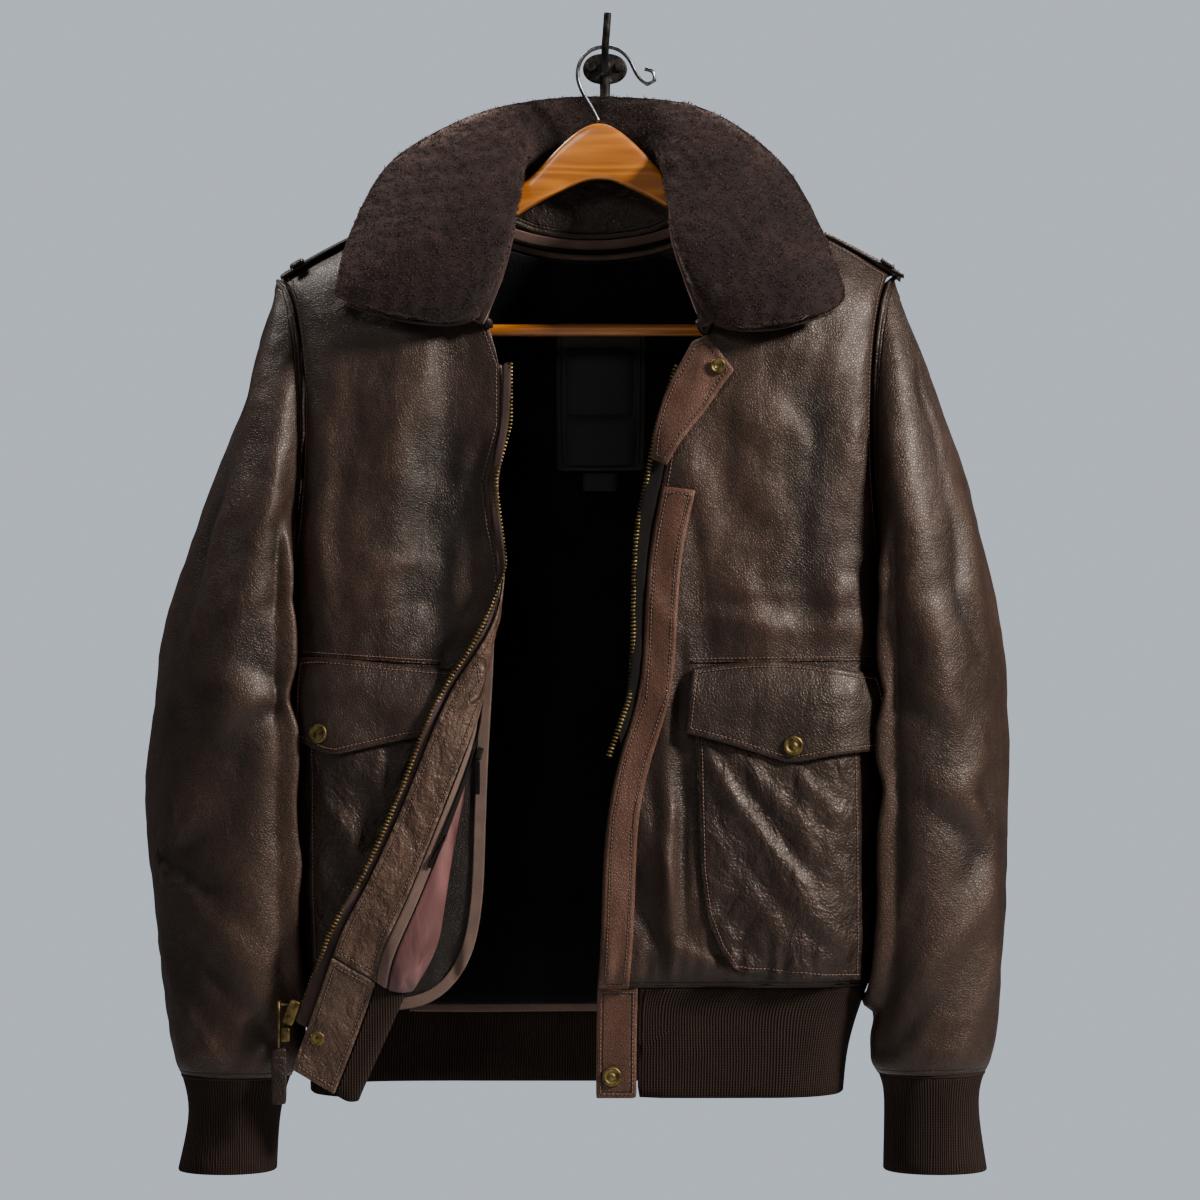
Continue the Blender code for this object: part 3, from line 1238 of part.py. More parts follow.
def make_wall_hook():
    rings = []
    turn = np.radians(np.arange(20) * 18.0)
    for y, size in ((0.0, 1.0), (-3.0, 1.0), (-4.0, 0.93)):
        x = 18 * np.sign(np.cos(turn)) * np.abs(np.cos(turn)) ** 0.8 * size
        rings.append(np.stack([x, 0 * x + y, -1 + 12.5 * np.sin(turn) * size], axis=-1))
    plate = body_of("wall_hook", np.array(rings), "iron", flip=False)
    prong = [(0, -2, 3), (0, -14, -3), (0, -30, -4.2), (0, -46, -2.2), (0, -57, 1.4), (0, -66, 7)]
    rod("prong_shape", rounded(prong + [(1, -71, 18), (2, -71, 33)]), 3.25, "iron")
    stem = [(0, -2, -8), (0, -7, -18), (0, -9, -30), (0, -9, -44)]
    rod("stem_shape", rounded(stem), 4.5, "iron")
    for name in ("prong_shape", "stem_shape"):
        cutter_of(plate, bpy.data.objects[name], "UNION")
    for name, x in (("left", -11.5), ("right", 11.5)):
        disc("screw_" + name, (x, -4.3, 0), (0, -1, 0), 4.2, 1.8, "iron", bevel=0.6, sides=14)


make_fronts()
make_back()
make_sleeves()
make_waistband()
make_collar()
make_epaulettes()
make_pockets()
make_studs()
make_placket()
make_facing()
make_zip()
HINGE = make_slider()
make_liner()
make_back_neck()
make_liner_zip()
make_hanger()
make_wall_hook()
print("zip pull hinge (m):", [round(float(v) * MM, 5) for v in HINGE])
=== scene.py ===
import json
import math

import bmesh
import bpy
import numpy as np
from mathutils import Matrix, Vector
from mathutils.bvhtree import BVHTree

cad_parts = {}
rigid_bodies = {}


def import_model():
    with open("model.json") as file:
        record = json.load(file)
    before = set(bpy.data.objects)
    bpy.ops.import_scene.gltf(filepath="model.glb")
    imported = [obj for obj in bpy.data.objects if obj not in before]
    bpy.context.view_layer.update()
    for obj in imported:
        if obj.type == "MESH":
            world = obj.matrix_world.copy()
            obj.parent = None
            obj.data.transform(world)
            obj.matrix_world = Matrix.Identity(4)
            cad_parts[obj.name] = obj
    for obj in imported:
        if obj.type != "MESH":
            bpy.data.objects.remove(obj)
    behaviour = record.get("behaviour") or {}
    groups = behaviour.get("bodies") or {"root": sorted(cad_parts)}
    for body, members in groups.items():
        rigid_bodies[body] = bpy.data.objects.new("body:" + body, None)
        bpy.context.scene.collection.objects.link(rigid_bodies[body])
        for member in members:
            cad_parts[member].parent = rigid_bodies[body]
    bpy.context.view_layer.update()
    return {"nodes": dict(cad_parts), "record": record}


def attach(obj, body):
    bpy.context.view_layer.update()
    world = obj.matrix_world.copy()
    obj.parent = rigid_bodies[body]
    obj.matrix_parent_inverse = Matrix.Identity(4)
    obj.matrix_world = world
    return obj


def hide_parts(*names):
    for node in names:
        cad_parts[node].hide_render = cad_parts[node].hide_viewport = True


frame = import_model()
nodes = frame["nodes"]
mm = 0.001
up = np.array([0.0, 0.0, 1.0])
print("frame loaded,", len(nodes), "nodes")


# shader maths: a wrapped socket, and a maker that adds nodes
class Value:
    def __init__(self, maker, socket):
        self.maker = maker
        self.socket = socket

    def maths(self, operation, *others):
        return self.maker.add("ShaderNodeMath", {"operation": operation}, dict(enumerate(others)))

    def __add__(self, other):
        return self.maths("ADD", self, other)

    def __sub__(self, other):
        return self.maths("SUBTRACT", self, other)

    def __rsub__(self, other):
        return self.maths("SUBTRACT", other, self)

    def __mul__(self, other):
        return self.maths("MULTIPLY", self, other)

    def __pow__(self, other):
        return self.maths("POWER", self, other)

    __radd__ = __add__
    __rmul__ = __mul__

    def low(self, other):
        return self.maths("MINIMUM", self, other)

    def wave(self):
        return self.maths("SINE", self)

    def size(self):
        return self.maths("ABSOLUTE", self)

    def ramp(self, start, end, first=0.0, last=1.0):
        settings = {"interpolation_type": "SMOOTHSTEP"}
        sockets = {0: self, 1: start, 2: end, 3: first, 4: last}
        return self.maker.add("ShaderNodeMapRange", settings, sockets)


class Finish:
    def __init__(self, name, **fixed):
        self.material = bpy.data.materials.new(name)
        self.material.use_nodes = True
        self.tree = self.material.node_tree
        self.surface = self.tree.nodes["Principled BSDF"]
        for socket, value in fixed.items():
            self.surface.inputs[socket.replace("_", " ")].default_value = value
        self.place = self.add("ShaderNodeTexCoord", {}, {}, "Object")

    def add(self, kind, settings, sockets, output=0):
        node = self.tree.nodes.new(kind)
        for key, value in settings.items():
            if key == "stops":
                stops = node.color_ramp.elements
                while len(stops) < len(value):
                    stops.new(0.5)
                for stop, (position, colour) in zip(stops, value):
                    stop.position = position
                    stop.color = (*colour, 1)
            else:
                setattr(node, key, value)
        for key, value in sockets.items():
            if isinstance(value, Value):
                self.tree.links.new(value.socket, node.inputs[key])
            else:
                node.inputs[key].default_value = value
        return Value(self, node.outputs[output])

    def moved(self, scale, turn=(0, 0, 0)):
        return self.add("ShaderNodeMapping", {}, {"Vector": self.place, "Scale": scale, "Rotation": turn})

    def noise(self, scale, detail=3.0, rough=0.5, bend=0.0, at=None):
        sockets = {"Vector": at or self.place, "Scale": scale, "Detail": detail, "Roughness": rough}
        return self.add("ShaderNodeTexNoise", {}, {**sockets, "Distortion": bend}, "Fac")

    def cells(self, scale, jitter):
        sockets = {"Vector": self.place, "Scale": scale, "Randomness": jitter}
        return self.add("ShaderNodeTexVoronoi", {"feature": "DISTANCE_TO_EDGE"}, sockets, "Distance")

    def share(self, name):
        return self.add("ShaderNodeAttribute", {"attribute_name": name}, {}, "Fac")

    def apart(self, vector=None):
        node = self.add("ShaderNodeSeparateXYZ", {}, {"Vector": vector or self.place}).socket.node
        return [Value(self, s) for s in node.outputs]

    def mix(self, factor, first, second):
        pick = lambda c: c if isinstance(c, Value) else (*c, 1)
        sockets = {0: factor, 6: pick(first), 7: pick(second)}
        return self.add("ShaderNodeMix", {"data_type": "RGBA"}, sockets, 2)

    def bump(self, height, depth, under=None):
        sockets = {"Height": height, "Distance": depth, "Strength": 1.0}
        if under:
            sockets["Normal"] = under
        return self.add("ShaderNodeBump", {}, sockets)

    def done(self, colour, rough=None, normal=None):
        for name, value in (("Base Color", colour), ("Roughness", rough), ("Normal", normal)):
            if value is not None:
                self.tree.links.new(value.socket, self.surface.inputs[name])
        return self.material


def tint(red, green, blue):
    line = lambda c: c / 12.92 if c <= 0.04045 else ((c + 0.055) / 1.055) ** 2.4
    return tuple(line(c / 255) for c in (red, green, blue))


# leather: pebbles, soft wrinkles and a rolled edge beside its stitches; painted shade in pebble furrows, wrinkles,
# fold troughs and the stitch groove, a painted highlight on fold ridges, and a lighter worn colour at rims and in
# random patches, most on pebble tops
hide = {
    "leatherBody": dict(deep=(12, 7, 6), main=(40, 25, 19), wearAndHighlight=(72, 51, 40), pebble=2.1, wrinkle=0.5),
    "leatherSleeve": dict(deep=(13, 8, 6), main=(43, 28, 21), wearAndHighlight=(78, 56, 44), pebble=2.2, wrinkle=0.5),
    "leatherPocket": dict(deep=(13, 8, 6), main=(35, 23, 18), wearAndHighlight=(64, 46, 37), pebble=2.8, wrinkle=1.5),
    "leatherStrip": dict(deep=(36, 20, 14), main=(80, 50, 38), wearAndHighlight=(112, 80, 64), pebble=2.0, wrinkle=0.3),
    "leatherFacing": dict(deep=(32, 21, 16), main=(80, 58, 46), wearAndHighlight=(124, 100, 85), pebble=2.3, wrinkle=2.1),
    "leatherDark": dict(deep=(12, 7, 5), main=(33, 21, 16), wearAndHighlight=(62, 45, 37), pebble=2.5, wrinkle=0.5),
    "leatherBlack": dict(deep=(3, 3, 4), main=(13, 12, 13), wearAndHighlight=(26, 25, 26), pebble=1.3, wrinkle=0.25),
}


def leather(name, deep, main, wearAndHighlight, pebble, wrinkle):
    made = Finish(name, Specular_IOR_Level=0.42, Coat_Weight=0.06, Coat_Roughness=0.4)
    made.surface.inputs["Specular Tint"].default_value = (1.0, 0.84, 0.74, 1)
    bent = made.noise(70, 2)
    uneven = made.noise(16, 3, 0.55)
    cell = made.cells(1000 / pebble, 0.9)
    fine = made.cells(1700 / pebble, 0.95)
    furrow = cell.ramp(0.02, 0.24) * 0.8 + fine.ramp(0.02, 0.25) * 0.2
    crease = made.noise(46, 3, 0.55, 1.1, made.moved((1.0, 1.0, 0.7), (0.0, 0.35, 0.0)))
    small = made.noise(130, 2, 0.5, 0.8)
    edge = made.share("edge")
    roll = edge.ramp(0.0, 2.2) * 0.55 + edge.ramp(3.4, 4.4, 0.45, 0.0) + edge.ramp(4.4, 5.6, 0.0, 0.45)
    fold = made.share("fold")
    # tone: random patches, plus the fold's height as painted shade in fold troughs and a painted highlight on fold
    # ridges
    tone = (uneven - 0.5) * 0.8 + 0.56 + fold * 0.08 + (bent - 0.5) * 0.25
    colour = made.mix(tone.ramp(0.0, 0.6), tint(*deep), tint(*main))
    # the wear-and-highlight colour: wear at the rims and on high random tone, most on pebble tops, and a painted
    # highlight on fold ridges through the tone
    ridge = (tone.ramp(0.5, 0.95) * 0.55 + (1 - edge.ramp(0.5, 2.6)) * 0.4) * (furrow * 0.7 + 0.3)
    colour = made.mix(ridge, colour, tint(*wearAndHighlight))
    # painted shade: darker in pebble furrows, wrinkle troughs and the groove at the stitch line, mixed towards a
    # darker copy of the deep colour
    paintedGrooveShade = (1 - (edge - 4.3).size().ramp(0.2, 1.3)) * 0.6
    dark = (1 - furrow) * 0.42 + (0.6 - crease) * 0.5 * wrinkle + paintedGrooveShade
    colour = made.mix(dark.low(0.85), colour, tint(*(c * 0.55 for c in deep)))
    rough = 0.4 + (1 - furrow) * 0.2 + (uneven - 0.5) * 0.24 + (bent - 0.5) * 0.12
    normal = made.bump(furrow, 0.19 * mm)
    normal = made.bump(crease * 3.2 * wrinkle + small * 0.9 * wrinkle + roll * 1.3, 0.75 * mm, normal)
    return made.done(colour, rough, normal)


finishes = {name: leather(name, **look) for name, look in hide.items()}


def furFinish(name, tips, lift):
    made = Finish(name, Roughness=0.85, Specular_IOR_Level=0.2, Sheen_Weight=0.9, Sheen_Roughness=0.4)
    made.surface.inputs["Sheen Tint"].default_value = (*tint(168, 138, 130), 1)
    patch = made.noise(26, 3, 0.55, 0.8)
    clump = made.noise(95, 3, 0.6, 0.5)
    hair = made.noise(900, 2, 0.6)
    tone = patch * 0.62 + clump * 0.34 + hair * 0.04
    stops = [(0.3, tint(16, 10, 9)), (0.5, tint(28, 19, 17)), (0.7, tint(48, 34, 31))]
    colour = made.add("ShaderNodeValToRGB", {"stops": stops}, {"Fac": tone + lift}, "Color")
    if tips:
        return made.done(colour)
    normal = made.bump(clump * 0.7 + hair * 0.3, 1.0 * mm)
    return made.done(colour, 0.75 + hair * 0.2, normal)


def knitFinish(name, pitch, deep, main):
    made = Finish(name, Specular_IOR_Level=0.08)
    across = made.share("around") * (2 * math.pi / pitch)
    down = made.apart()[2] * (2 * math.pi * 1000 / 2.1)
    rib = across.wave() * 0.5 + 0.5
    loop = (down + across.wave() * 1.5).wave() * 0.5 + 0.5
    fuzz = made.noise(650, 2)
    uneven = made.noise(30, 2)
    # the ribs' colour follows their height: painted shade in the rib valleys, lighter on the rib tops
    tone = rib * 0.5 + loop * 0.16 + fuzz * 0.2 + uneven * 0.24
    colour = made.mix(tone.ramp(0.2, 0.85), tint(*deep), tint(*main))
    normal = made.bump(rib + loop * 0.28 * rib, 0.6 * mm)
    return made.done(colour, 0.8 + fuzz * 0.15, normal)


def weave(name, deep, main, pitch, rough, turn, depth, **fixed):
    made = Finish(name, **fixed)
    x, _, z = made.apart(made.moved((1000 / pitch,) * 3, (0, turn, 0)))
    warp, weft = (x * 2 * math.pi).wave(), (z * 2 * math.pi).wave()
    cross = (warp * weft) * 0.5 + 0.5
    uneven = made.noise(40, 3, 0.6)
    tone = cross * 0.4 + uneven * 0.6
    colour = made.mix(tone.ramp(0.2, 0.8), tint(*deep), tint(*main))
    return made.done(colour, rough + (uneven - 0.5) * 0.2, made.bump(cross, depth * mm))


def pileFinish():
    made = Finish("linerPile", Specular_IOR_Level=0.12, Sheen_Weight=0.06, Sheen_Roughness=0.5)
    nap = made.noise(420, 3, 0.65)
    patch = made.noise(18, 3, 0.6, 0.6)
    tone = nap * 0.45 + patch * 0.55
    colour = made.mix(tone.ramp(0.35, 0.7), tint(1, 1, 3), tint(12, 13, 19))
    return made.done(colour, 0.85 + nap * 0.1, made.bump(nap, 1.2 * mm))


def satinFinish():
    made = Finish("satin", Specular_IOR_Level=0.3)
    streakShadeAndSheen = made.noise(60, 3, 0.5, 0.6, made.moved((1, 1, 0.25)))
    thread = made.noise(900, 1, 0.5, 0.0, made.moved((1, 1, 0.06)))
    # painted shade and sheen: the colour runs from the satin's shaded to its lit value along the same streaks that
    # bump it
    colour = made.mix(streakShadeAndSheen.ramp(0.3, 0.7), tint(70, 42, 41), tint(112, 74, 72))
    return made.done(colour, 0.5 + thread * 0.15, made.bump(streakShadeAndSheen + thread * 0.08, 1.4 * mm))


def woodFinish(name, pale, dark):
    made = Finish(name, Coat_Weight=0.45, Coat_Roughness=0.16)
    grain = made.noise(24, 4, 0.6, 0.6, made.moved((0.22, 3.0, 3.0)))
    line = ((made.noise(9, 2, 0.5, 0.3, made.moved((0.16, 2.4, 2.4))) * 90).wave() * 0.5 + 0.5) ** 2
    pores = made.noise(520, 2, 0.7, 0.0, made.moved((0.05, 1, 1)))
    tone = grain * 0.55 + line * 0.25 + pores * 0.2
    colour = made.mix(tone.ramp(0.2, 0.8), tint(*dark), tint(*pale))
    colour = made.mix(pores.ramp(0.62, 0.8) * 0.4, colour, tint(96, 54, 20))
    return made.done(colour, 0.32 + grain * 0.14, made.bump(pores * 0.5 + line * 0.2, 0.12 * mm))


def metalFinish(name, colour, tarnish, rough):
    made = Finish(name, Metallic=1.0)
    blot = made.noise(180, 4, 0.65, 0.4)
    scratch = made.noise(700, 2, 0.6, 0.0, made.moved((1, 1, 0.15)))
    shade = made.mix(blot.ramp(0.35, 0.7), tint(*colour), tint(*tarnish))
    return made.done(shade, rough + blot * 0.22, made.bump(blot * 0.6 + scratch * 0.4, 0.06 * mm))


def ironFinish():
    made = Finish("wallIron", Metallic=0.75, Specular_IOR_Level=0.4)
    blot = made.noise(140, 4, 0.6, 0.3)
    pit = made.noise(900, 3, 0.7)
    shade = made.mix(blot.ramp(0.35, 0.7), tint(16, 16, 15), tint(58, 52, 44))
    return made.done(shade, 0.42 + pit * 0.3, made.bump(blot * 0.7 + pit * 0.3, 0.35 * mm))


finishes.update(
    fur=furFinish("shearedFur", False, 0.0),
    # the tips are the fur's own finish made lighter by its lift: lighter hair tips, and a painted highlight that
    # offsets the shadow specks between the tufts
    furTips=furFinish("furTips", True, 0.13),
    knit=knitFinish("knitRib", 2.2, (15, 11, 9), (52, 40, 34)),
    pile=pileFinish(),
    satin=satinFinish(),
    binding=weave("bindingTwill", (58, 38, 29), (112, 82, 66), 1.1, 0.62, 0.6, 0.3, Sheen_Weight=0.2),
    tape=weave("zipTape", (8, 6, 5), (22, 15, 13), 0.9, 0.85, 0.0, 0.2, Specular_IOR_Level=0.2),
    tapePale=weave("zipTapeMauve", (38, 22, 21), (72, 46, 42), 0.9, 0.75, 0.0, 0.2),
    patch=weave("labelCloth", (4, 5, 7), (20, 21, 25), 0.7, 0.7, 0.0, 0.12),
    thread=weave("thread", (62, 42, 34), (112, 84, 68), 0.5, 0.55, 0.0, 0.05),
    brass=metalFinish("brass", (128, 110, 68), (56, 46, 28), 0.36),
    steel=metalFinish("hangerSteel", (120, 120, 122), (70, 70, 72), 0.22),
    iron=ironFinish(),
    coil=metalFinish("darkZip", (44, 40, 40), (24, 22, 22), 0.4),
    wood=woodFinish("hangerBeech", (196, 118, 30), (140, 74, 14)),
    bar=woodFinish("barBeech", (200, 124, 34), (148, 80, 16)),
)
print("finishes made")


# shapes: a copy of a node's mesh with its doubles merged, quads, creased rims, and finer faces
def rampOf(value, start, end):
    t = np.clip((np.asarray(value, float) - start) / (end - start), 0, 1)
    return t * t * (3 - 2 * t)


def vertexRows(mesh, label):
    flat = np.empty(len(mesh.vertices) * 3)
    mesh.vertices.foreach_get(label, flat)
    return flat.reshape(-1, 3)


def points(mesh):
    return vertexRows(mesh, "co") / mm


def setPoints(mesh, at):
    mesh.vertices.foreach_set("co", (at * mm).ravel())
    mesh.update()


def meshOf(name, corners, faces):
    mesh = bpy.data.meshes.new(name)
    mesh.from_pydata([tuple(np.array(c) * mm) for c in corners], [], faces)
    return mesh


def placed(name, data):
    piece = bpy.data.objects.new(name, data)
    bpy.context.collection.objects.link(piece)
    return piece


def treeOf(mesh):
    return BVHTree.FromPolygons([v.co[:] for v in mesh.vertices], [p.vertices[:] for p in mesh.polygons])


def unit(vector):
    return vector / np.maximum(np.linalg.norm(vector, axis=-1, keepdims=True), 1e-9)


nodeTrees = {}


def nodeTree(name):
    if name not in nodeTrees:
        nodeTrees[name] = treeOf(nodes[name].data)
    return nodeTrees[name]


def distanceTo(names, at):
    best = np.full(len(at), 999.0)
    for name in names:
        tree = nodeTree(name)
        for i, p in enumerate(at):
            found = tree.find_nearest(Vector(p * mm), 0.045)
            if found[3] is not None:
                best[i] = min(best[i], found[3] / mm)
    return best


def coarse(name):
    shape = bmesh.new()
    shape.from_mesh(nodes[name].data)
    bmesh.ops.remove_doubles(shape, verts=shape.verts, dist=2e-6)
    limits = dict(angle_face_threshold=math.radians(46), angle_shape_threshold=math.radians(70))
    bmesh.ops.join_triangles(shape, faces=shape.faces, **limits)
    return shape


rimAngle = math.radians(56)  # a sharper edge than this is a rim


def rimsOf(shape, out):
    rims = []
    for edge in shape.edges:
        if len(edge.link_faces) == 2 and edge.calc_face_angle(0) > rimAngle:
            ends = np.array([v.co[:] for v in edge.verts]) / mm
            facing = [float(np.dot(f.normal[:], out(ends.mean(0)[None])[0])) for f in edge.link_faces]
            face = edge.link_faces[int(np.argmax(facing))]
            middle = np.array(face.calc_center_median()[:]) / mm
            rims.append((ends, np.array(face.normal[:]), middle, max(facing)))
    return rims


def edgeShare(rims, at):
    best = np.full(len(at), 60.0)
    for ends, _, _, _ in rims:
        run = ends[1] - ends[0]
        along = np.clip((at - ends[0]) @ run / max(run @ run, 1e-9), 0, 1)
        best = np.minimum(best, np.linalg.norm(at - ends[0] - along[:, None] * run, axis=1))
    return best


def finer(shape, name, levels, soft):
    crease = shape.edges.layers.float.new("crease_edge")
    for edge in shape.edges:
        if len(edge.link_faces) != 2 or edge.calc_face_angle(0) > rimAngle:
            edge[crease] = soft
    mesh = bpy.data.meshes.new(name)
    shape.to_mesh(mesh)
    piece = placed(name, mesh)
    rounder = piece.modifiers.new("rounder", "SUBSURF")
    rounder.levels = rounder.render_levels = levels
    return plain(piece)


def plain(piece):
    graph = bpy.context.evaluated_depsgraph_get()
    mesh = bpy.data.meshes.new_from_object(piece.evaluated_get(graph), depsgraph=graph)
    mesh.name = piece.name
    piece.modifiers.clear()
    piece.data = mesh
    for face in mesh.polygons:
        face.use_smooth = True
    return piece


torso = {"x": -15, "y": -72, "halfWide": 235, "halfDeep": 72}


def torsoOut(at):
    x, y = (at[:, 0] - torso["x"]) / torso["halfWide"], (at[:, 1] - torso["y"]) / torso["halfDeep"]
    outward = [x ** 3 / torso["halfWide"], y ** 3 / torso["halfDeep"] + 1e-6 * np.sign(y), 0 * x]
    return unit(np.stack(outward, axis=1))


def fromMiddle(centres, at):
    middle = np.stack([np.interp(-at[:, 2], -centres[:, 2], centres[:, i]) for i in (0, 1)], axis=1)
    return at[:, :2] - middle


def tubeOut(centres):
    def out(at):
        flat = fromMiddle(centres, at)
        return unit(np.concatenate([flat, 0 * flat[:, :1]], axis=1))
    return out


def centresOf(name, every=25):
    at = points(nodes[name].data)
    rows = []
    for z in np.arange(at[:, 2].max() - every, at[:, 2].min(), -every):
        near = at[np.abs(at[:, 2] - z) < every]
        if len(near) > 6:
            low, high = near.min(0), near.max(0)
            rows.append([(low[0] + high[0]) / 2, (low[1] + high[1]) / 2, z])
    return np.array(rows)


def ripple(a, b, size, seed):
    turn = np.random.default_rng(seed)
    total = 0 * a
    for _ in range(7):
        angle, phase, stretch = turn.uniform(0, 2 * math.pi), turn.uniform(0, 6.28), turn.uniform(0.7, 1.5)
        along = (a * math.cos(angle) + b * math.sin(angle)) * 2 * math.pi / size / stretch
        across = (b * math.cos(angle) - a * math.sin(angle)) * 2 * math.pi / size / 2.3
        total = total + np.sin(along + phase + 0.9 * np.sin(across + phase * 2))
    return total / 4.2


def troughs(a, b, lines):
    total = 0 * a
    for a0, b0, a1, b1, width, height in lines:
        run = np.array([a1 - a0, b1 - b0])
        length = np.linalg.norm(run)
        along = ((a - a0) * run[0] + (b - b0) * run[1]) / length
        off = ((a - a0) * run[1] - (b - b0) * run[0]) / length
        off = off + 0.16 * width * np.sin(along / 17 + a0)
        ends = rampOf(along, -0.25 * length, 0.25 * length) * rampOf(along, 1.25 * length, 0.7 * length)
        uneven = 0.8 + 0.25 * np.sin(along / 23 + b0)
        bell = np.exp(-((off / width) ** 2) * np.where(off > 0, 0.7, 1.5))
        total = total + height * uneven * ends * bell
    return total


# the fronts' creases: from x z, to x z, width, height (negative is a trough), all mm
frontCreases = [
    (-128, -290, -132, -470, 26, -6.4), (-198, -255, -202, -450, 24, 3.4), (100, -245, 92, -430, 26, 3.2),
    (170, -260, 164, -450, 24, -3.0), (36, -590, 58, -690, 9, 3.4), (50, -575, 52, -650, 8, 2.6),
    (22, -630, 42, -690, 8, -2.6),
    (-150, -240, -170, -440, 17, 2.6), (-122, -250, -128, -430, 13, -2.4), (-190, -250, -206, -420, 12, -1.8),
    (-110, -320, -150, -455, 9, 1.5), (-135, -395, -205, -408, 9, 1.3), (-125, -425, -200, -436, 7, -1.2),
    (-95, -300, -104, -430, 10, -1.6), (-215, -280, -212, -455, 9, 1.5), (-232, -560, -236, -690, 9, -1.6),
    (-175, -450, -120, -400, 8, -1.0), (-160, -470, -100, -440, 6, 1.0),
    (70, -330, 120, -455, 14, 2.0), (112, -235, 138, -440, 18, 2.4), (160, -240, 150, -430, 14, -2.2),
    (62, -345, 82, -470, 9, -1.6), (188, -270, 172, -452, 13, 1.9), (90, -440, 200, -452, 8, 1.3),
    (80, -425, 190, -432, 7, -1.2), (100, -300, 150, -345, 10, -1.0), (120, -270, 175, -330, 10, 1.0),
    (46, -500, 50, -700, 7, 2.4), (58, -470, 60, -700, 5, -2.2), (36, -560, 44, -720, 5, -1.6),
    (205, -470, 203, -700, 8, -1.4), (35, -420, 60, -455, 6, 1.1), (30, -450, 58, -500, 6, -1.2),
    (20, -640, 60, -700, 6, 1.2), (60, -690, 110, -716, 6, 1.4), (150, -712, 200, -700, 6, -1.1),
]
backCreases = [
    (-180, -200, -120, -420, 20, 2.6), (160, -200, 110, -420, 20, 2.4), (-60, -230, -50, -520, 24, -2.2),
    (60, -230, 40, -540, 22, 2.0), (-200, -420, -60, -470, 14, -2.0), (190, -430, 50, -480, 14, -2.2),
    (-190, -520, -40, -560, 13, 2.0), (180, -540, 30, -575, 13, 1.8), (-150, -600, -140, -715, 10, 2.6),
    (-100, -610, -96, -715, 9, -2.4), (-50, -600, -48, -715, 10, 2.2), (5, -605, 4, -715, 9, -2.2),
    (60, -600, 58, -715, 10, 2.4), (112, -610, 112, -715, 9, -2.4), (165, -600, 168, -715, 10, 2.2),
]


hem = {"gather": (-672, -708), "height": 2.2, "held": (-724, -712)}


# soft and fine folds are each given by size, seed and height, and the gather by its seed
def panelShift(creases, strength, soft, fine, gather):
    def shift(at):
        x, z = at[:, 0], at[:, 2]
        folds = ripple(x, z * 0.8, *soft[:2]) * soft[2] + ripple(x, z, *fine[:2]) * fine[2]
        puckers = ripple(x * 2.2, z * 0.3, 30, gather) * hem["height"] * rampOf(z, *hem["gather"])
        return (troughs(x, z, creases) * strength + folds + puckers) * rampOf(z, *hem["held"])
    return shift


frontShift = panelShift(frontCreases, strength=1.7, soft=(62, 3, 1.3), fine=(23, 8, 0.5), gather=77)
backShift = panelShift(backCreases, strength=1.4, soft=(70, 13, 1.4), fine=(25, 18, 0.45), gather=78)


sleeveCreases = {  # round the sleeve by mm from its front, and z
    "right": [
        (-10, -230, -20, -480, 16, 3.0), (34, -260, 26, -470, 12, -2.8), (-48, -280, -46, -520, 13, -2.4),
        (0, -470, -34, -640, 12, 2.8), (30, -460, 0, -660, 11, -2.6), (60, -430, 40, -600, 12, 2.2),
        (-60, -560, -10, -640, 9, -2.0), (-50, -600, 20, -700, 9, 2.2), (-20, -690, 40, -770, 8, -2.0),
        (-60, -700, -6, -786, 9, 2.2), (30, -650, 54, -780, 8, 1.9), (-40, -500, 30, -560, 8, -1.6),
        (90, -300, 100, -560, 16, 2.4), (-95, -300, -100, -600, 16, 2.6), (120, -480, 60, -560, 10, -2.0),
        (84, -400, 84, -740, 26, 4.6), (76, -620, 76, -800, 32, 5.2),
    ],
    "left": [
        (-30, -240, -14, -470, 15, 2.8), (14, -250, 22, -500, 14, -2.8), (48, -280, 46, -520, 14, 2.4),
        (-20, -470, 10, -650, 12, -2.6), (16, -480, 40, -680, 12, 2.8), (-50, -430, -44, -640, 11, 2.2),
        (60, -560, 10, -630, 9, -1.9), (44, -640, -26, -720, 9, 2.2), (20, -700, -40, -776, 8, -2.0),
        (60, -690, 6, -786, 9, 2.2), (-30, -640, -56, -780, 8, 1.9), (40, -500, -30, -556, 8, -1.7),
        (90, -300, 100, -560, 16, 2.4), (-95, -300, -100, -600, 16, 2.6), (-120, -480, -60, -560, 10, -2.0),
        (-84, -380, -84, -740, 26, 4.6), (-76, -400, -76, -580, 32, 3.4),
    ],
}


# how a sleeve folds, and how its inner side leans on the body below the armhole, mm
sleeve = {
    "radius": 48, "strength": 1.5, "soft": 1.2, "fine": 0.5, "seed": {"left": 21, "right": 31}, "hold": (3, 24),
    "cuffHold": (-792, -770), "gap": 1.2, "lean": 13, "reach": (26, 15), "leanTop": (-350, -410),
    "leanFoot": (-800, -760),
}


def sleeveShift(side, centres):
    def shift(at):
        z = at[:, 2]
        near = distanceTo(("back", "front_" + side), at)
        lean = np.clip(near - sleeve["gap"], 0, sleeve["lean"]) * rampOf(near, *sleeve["reach"])
        lean = lean * rampOf(z, *sleeve["leanTop"]) * rampOf(z, *sleeve["leanFoot"])
        flat = fromMiddle(centres, at)
        around = np.arctan2(flat[:, 0], -flat[:, 1]) * sleeve["radius"]
        soft = ripple(around, z * 0.75, 60, sleeve["seed"][side]) * sleeve["soft"]
        fine = ripple(around, z, 22, 5) * sleeve["fine"]
        folds = troughs(around, z, sleeveCreases[side]) * sleeve["strength"] + soft + fine
        return folds * rampOf(near, *sleeve["hold"]) * rampOf(z, *sleeve["cuffHold"]) + lean
    return shift


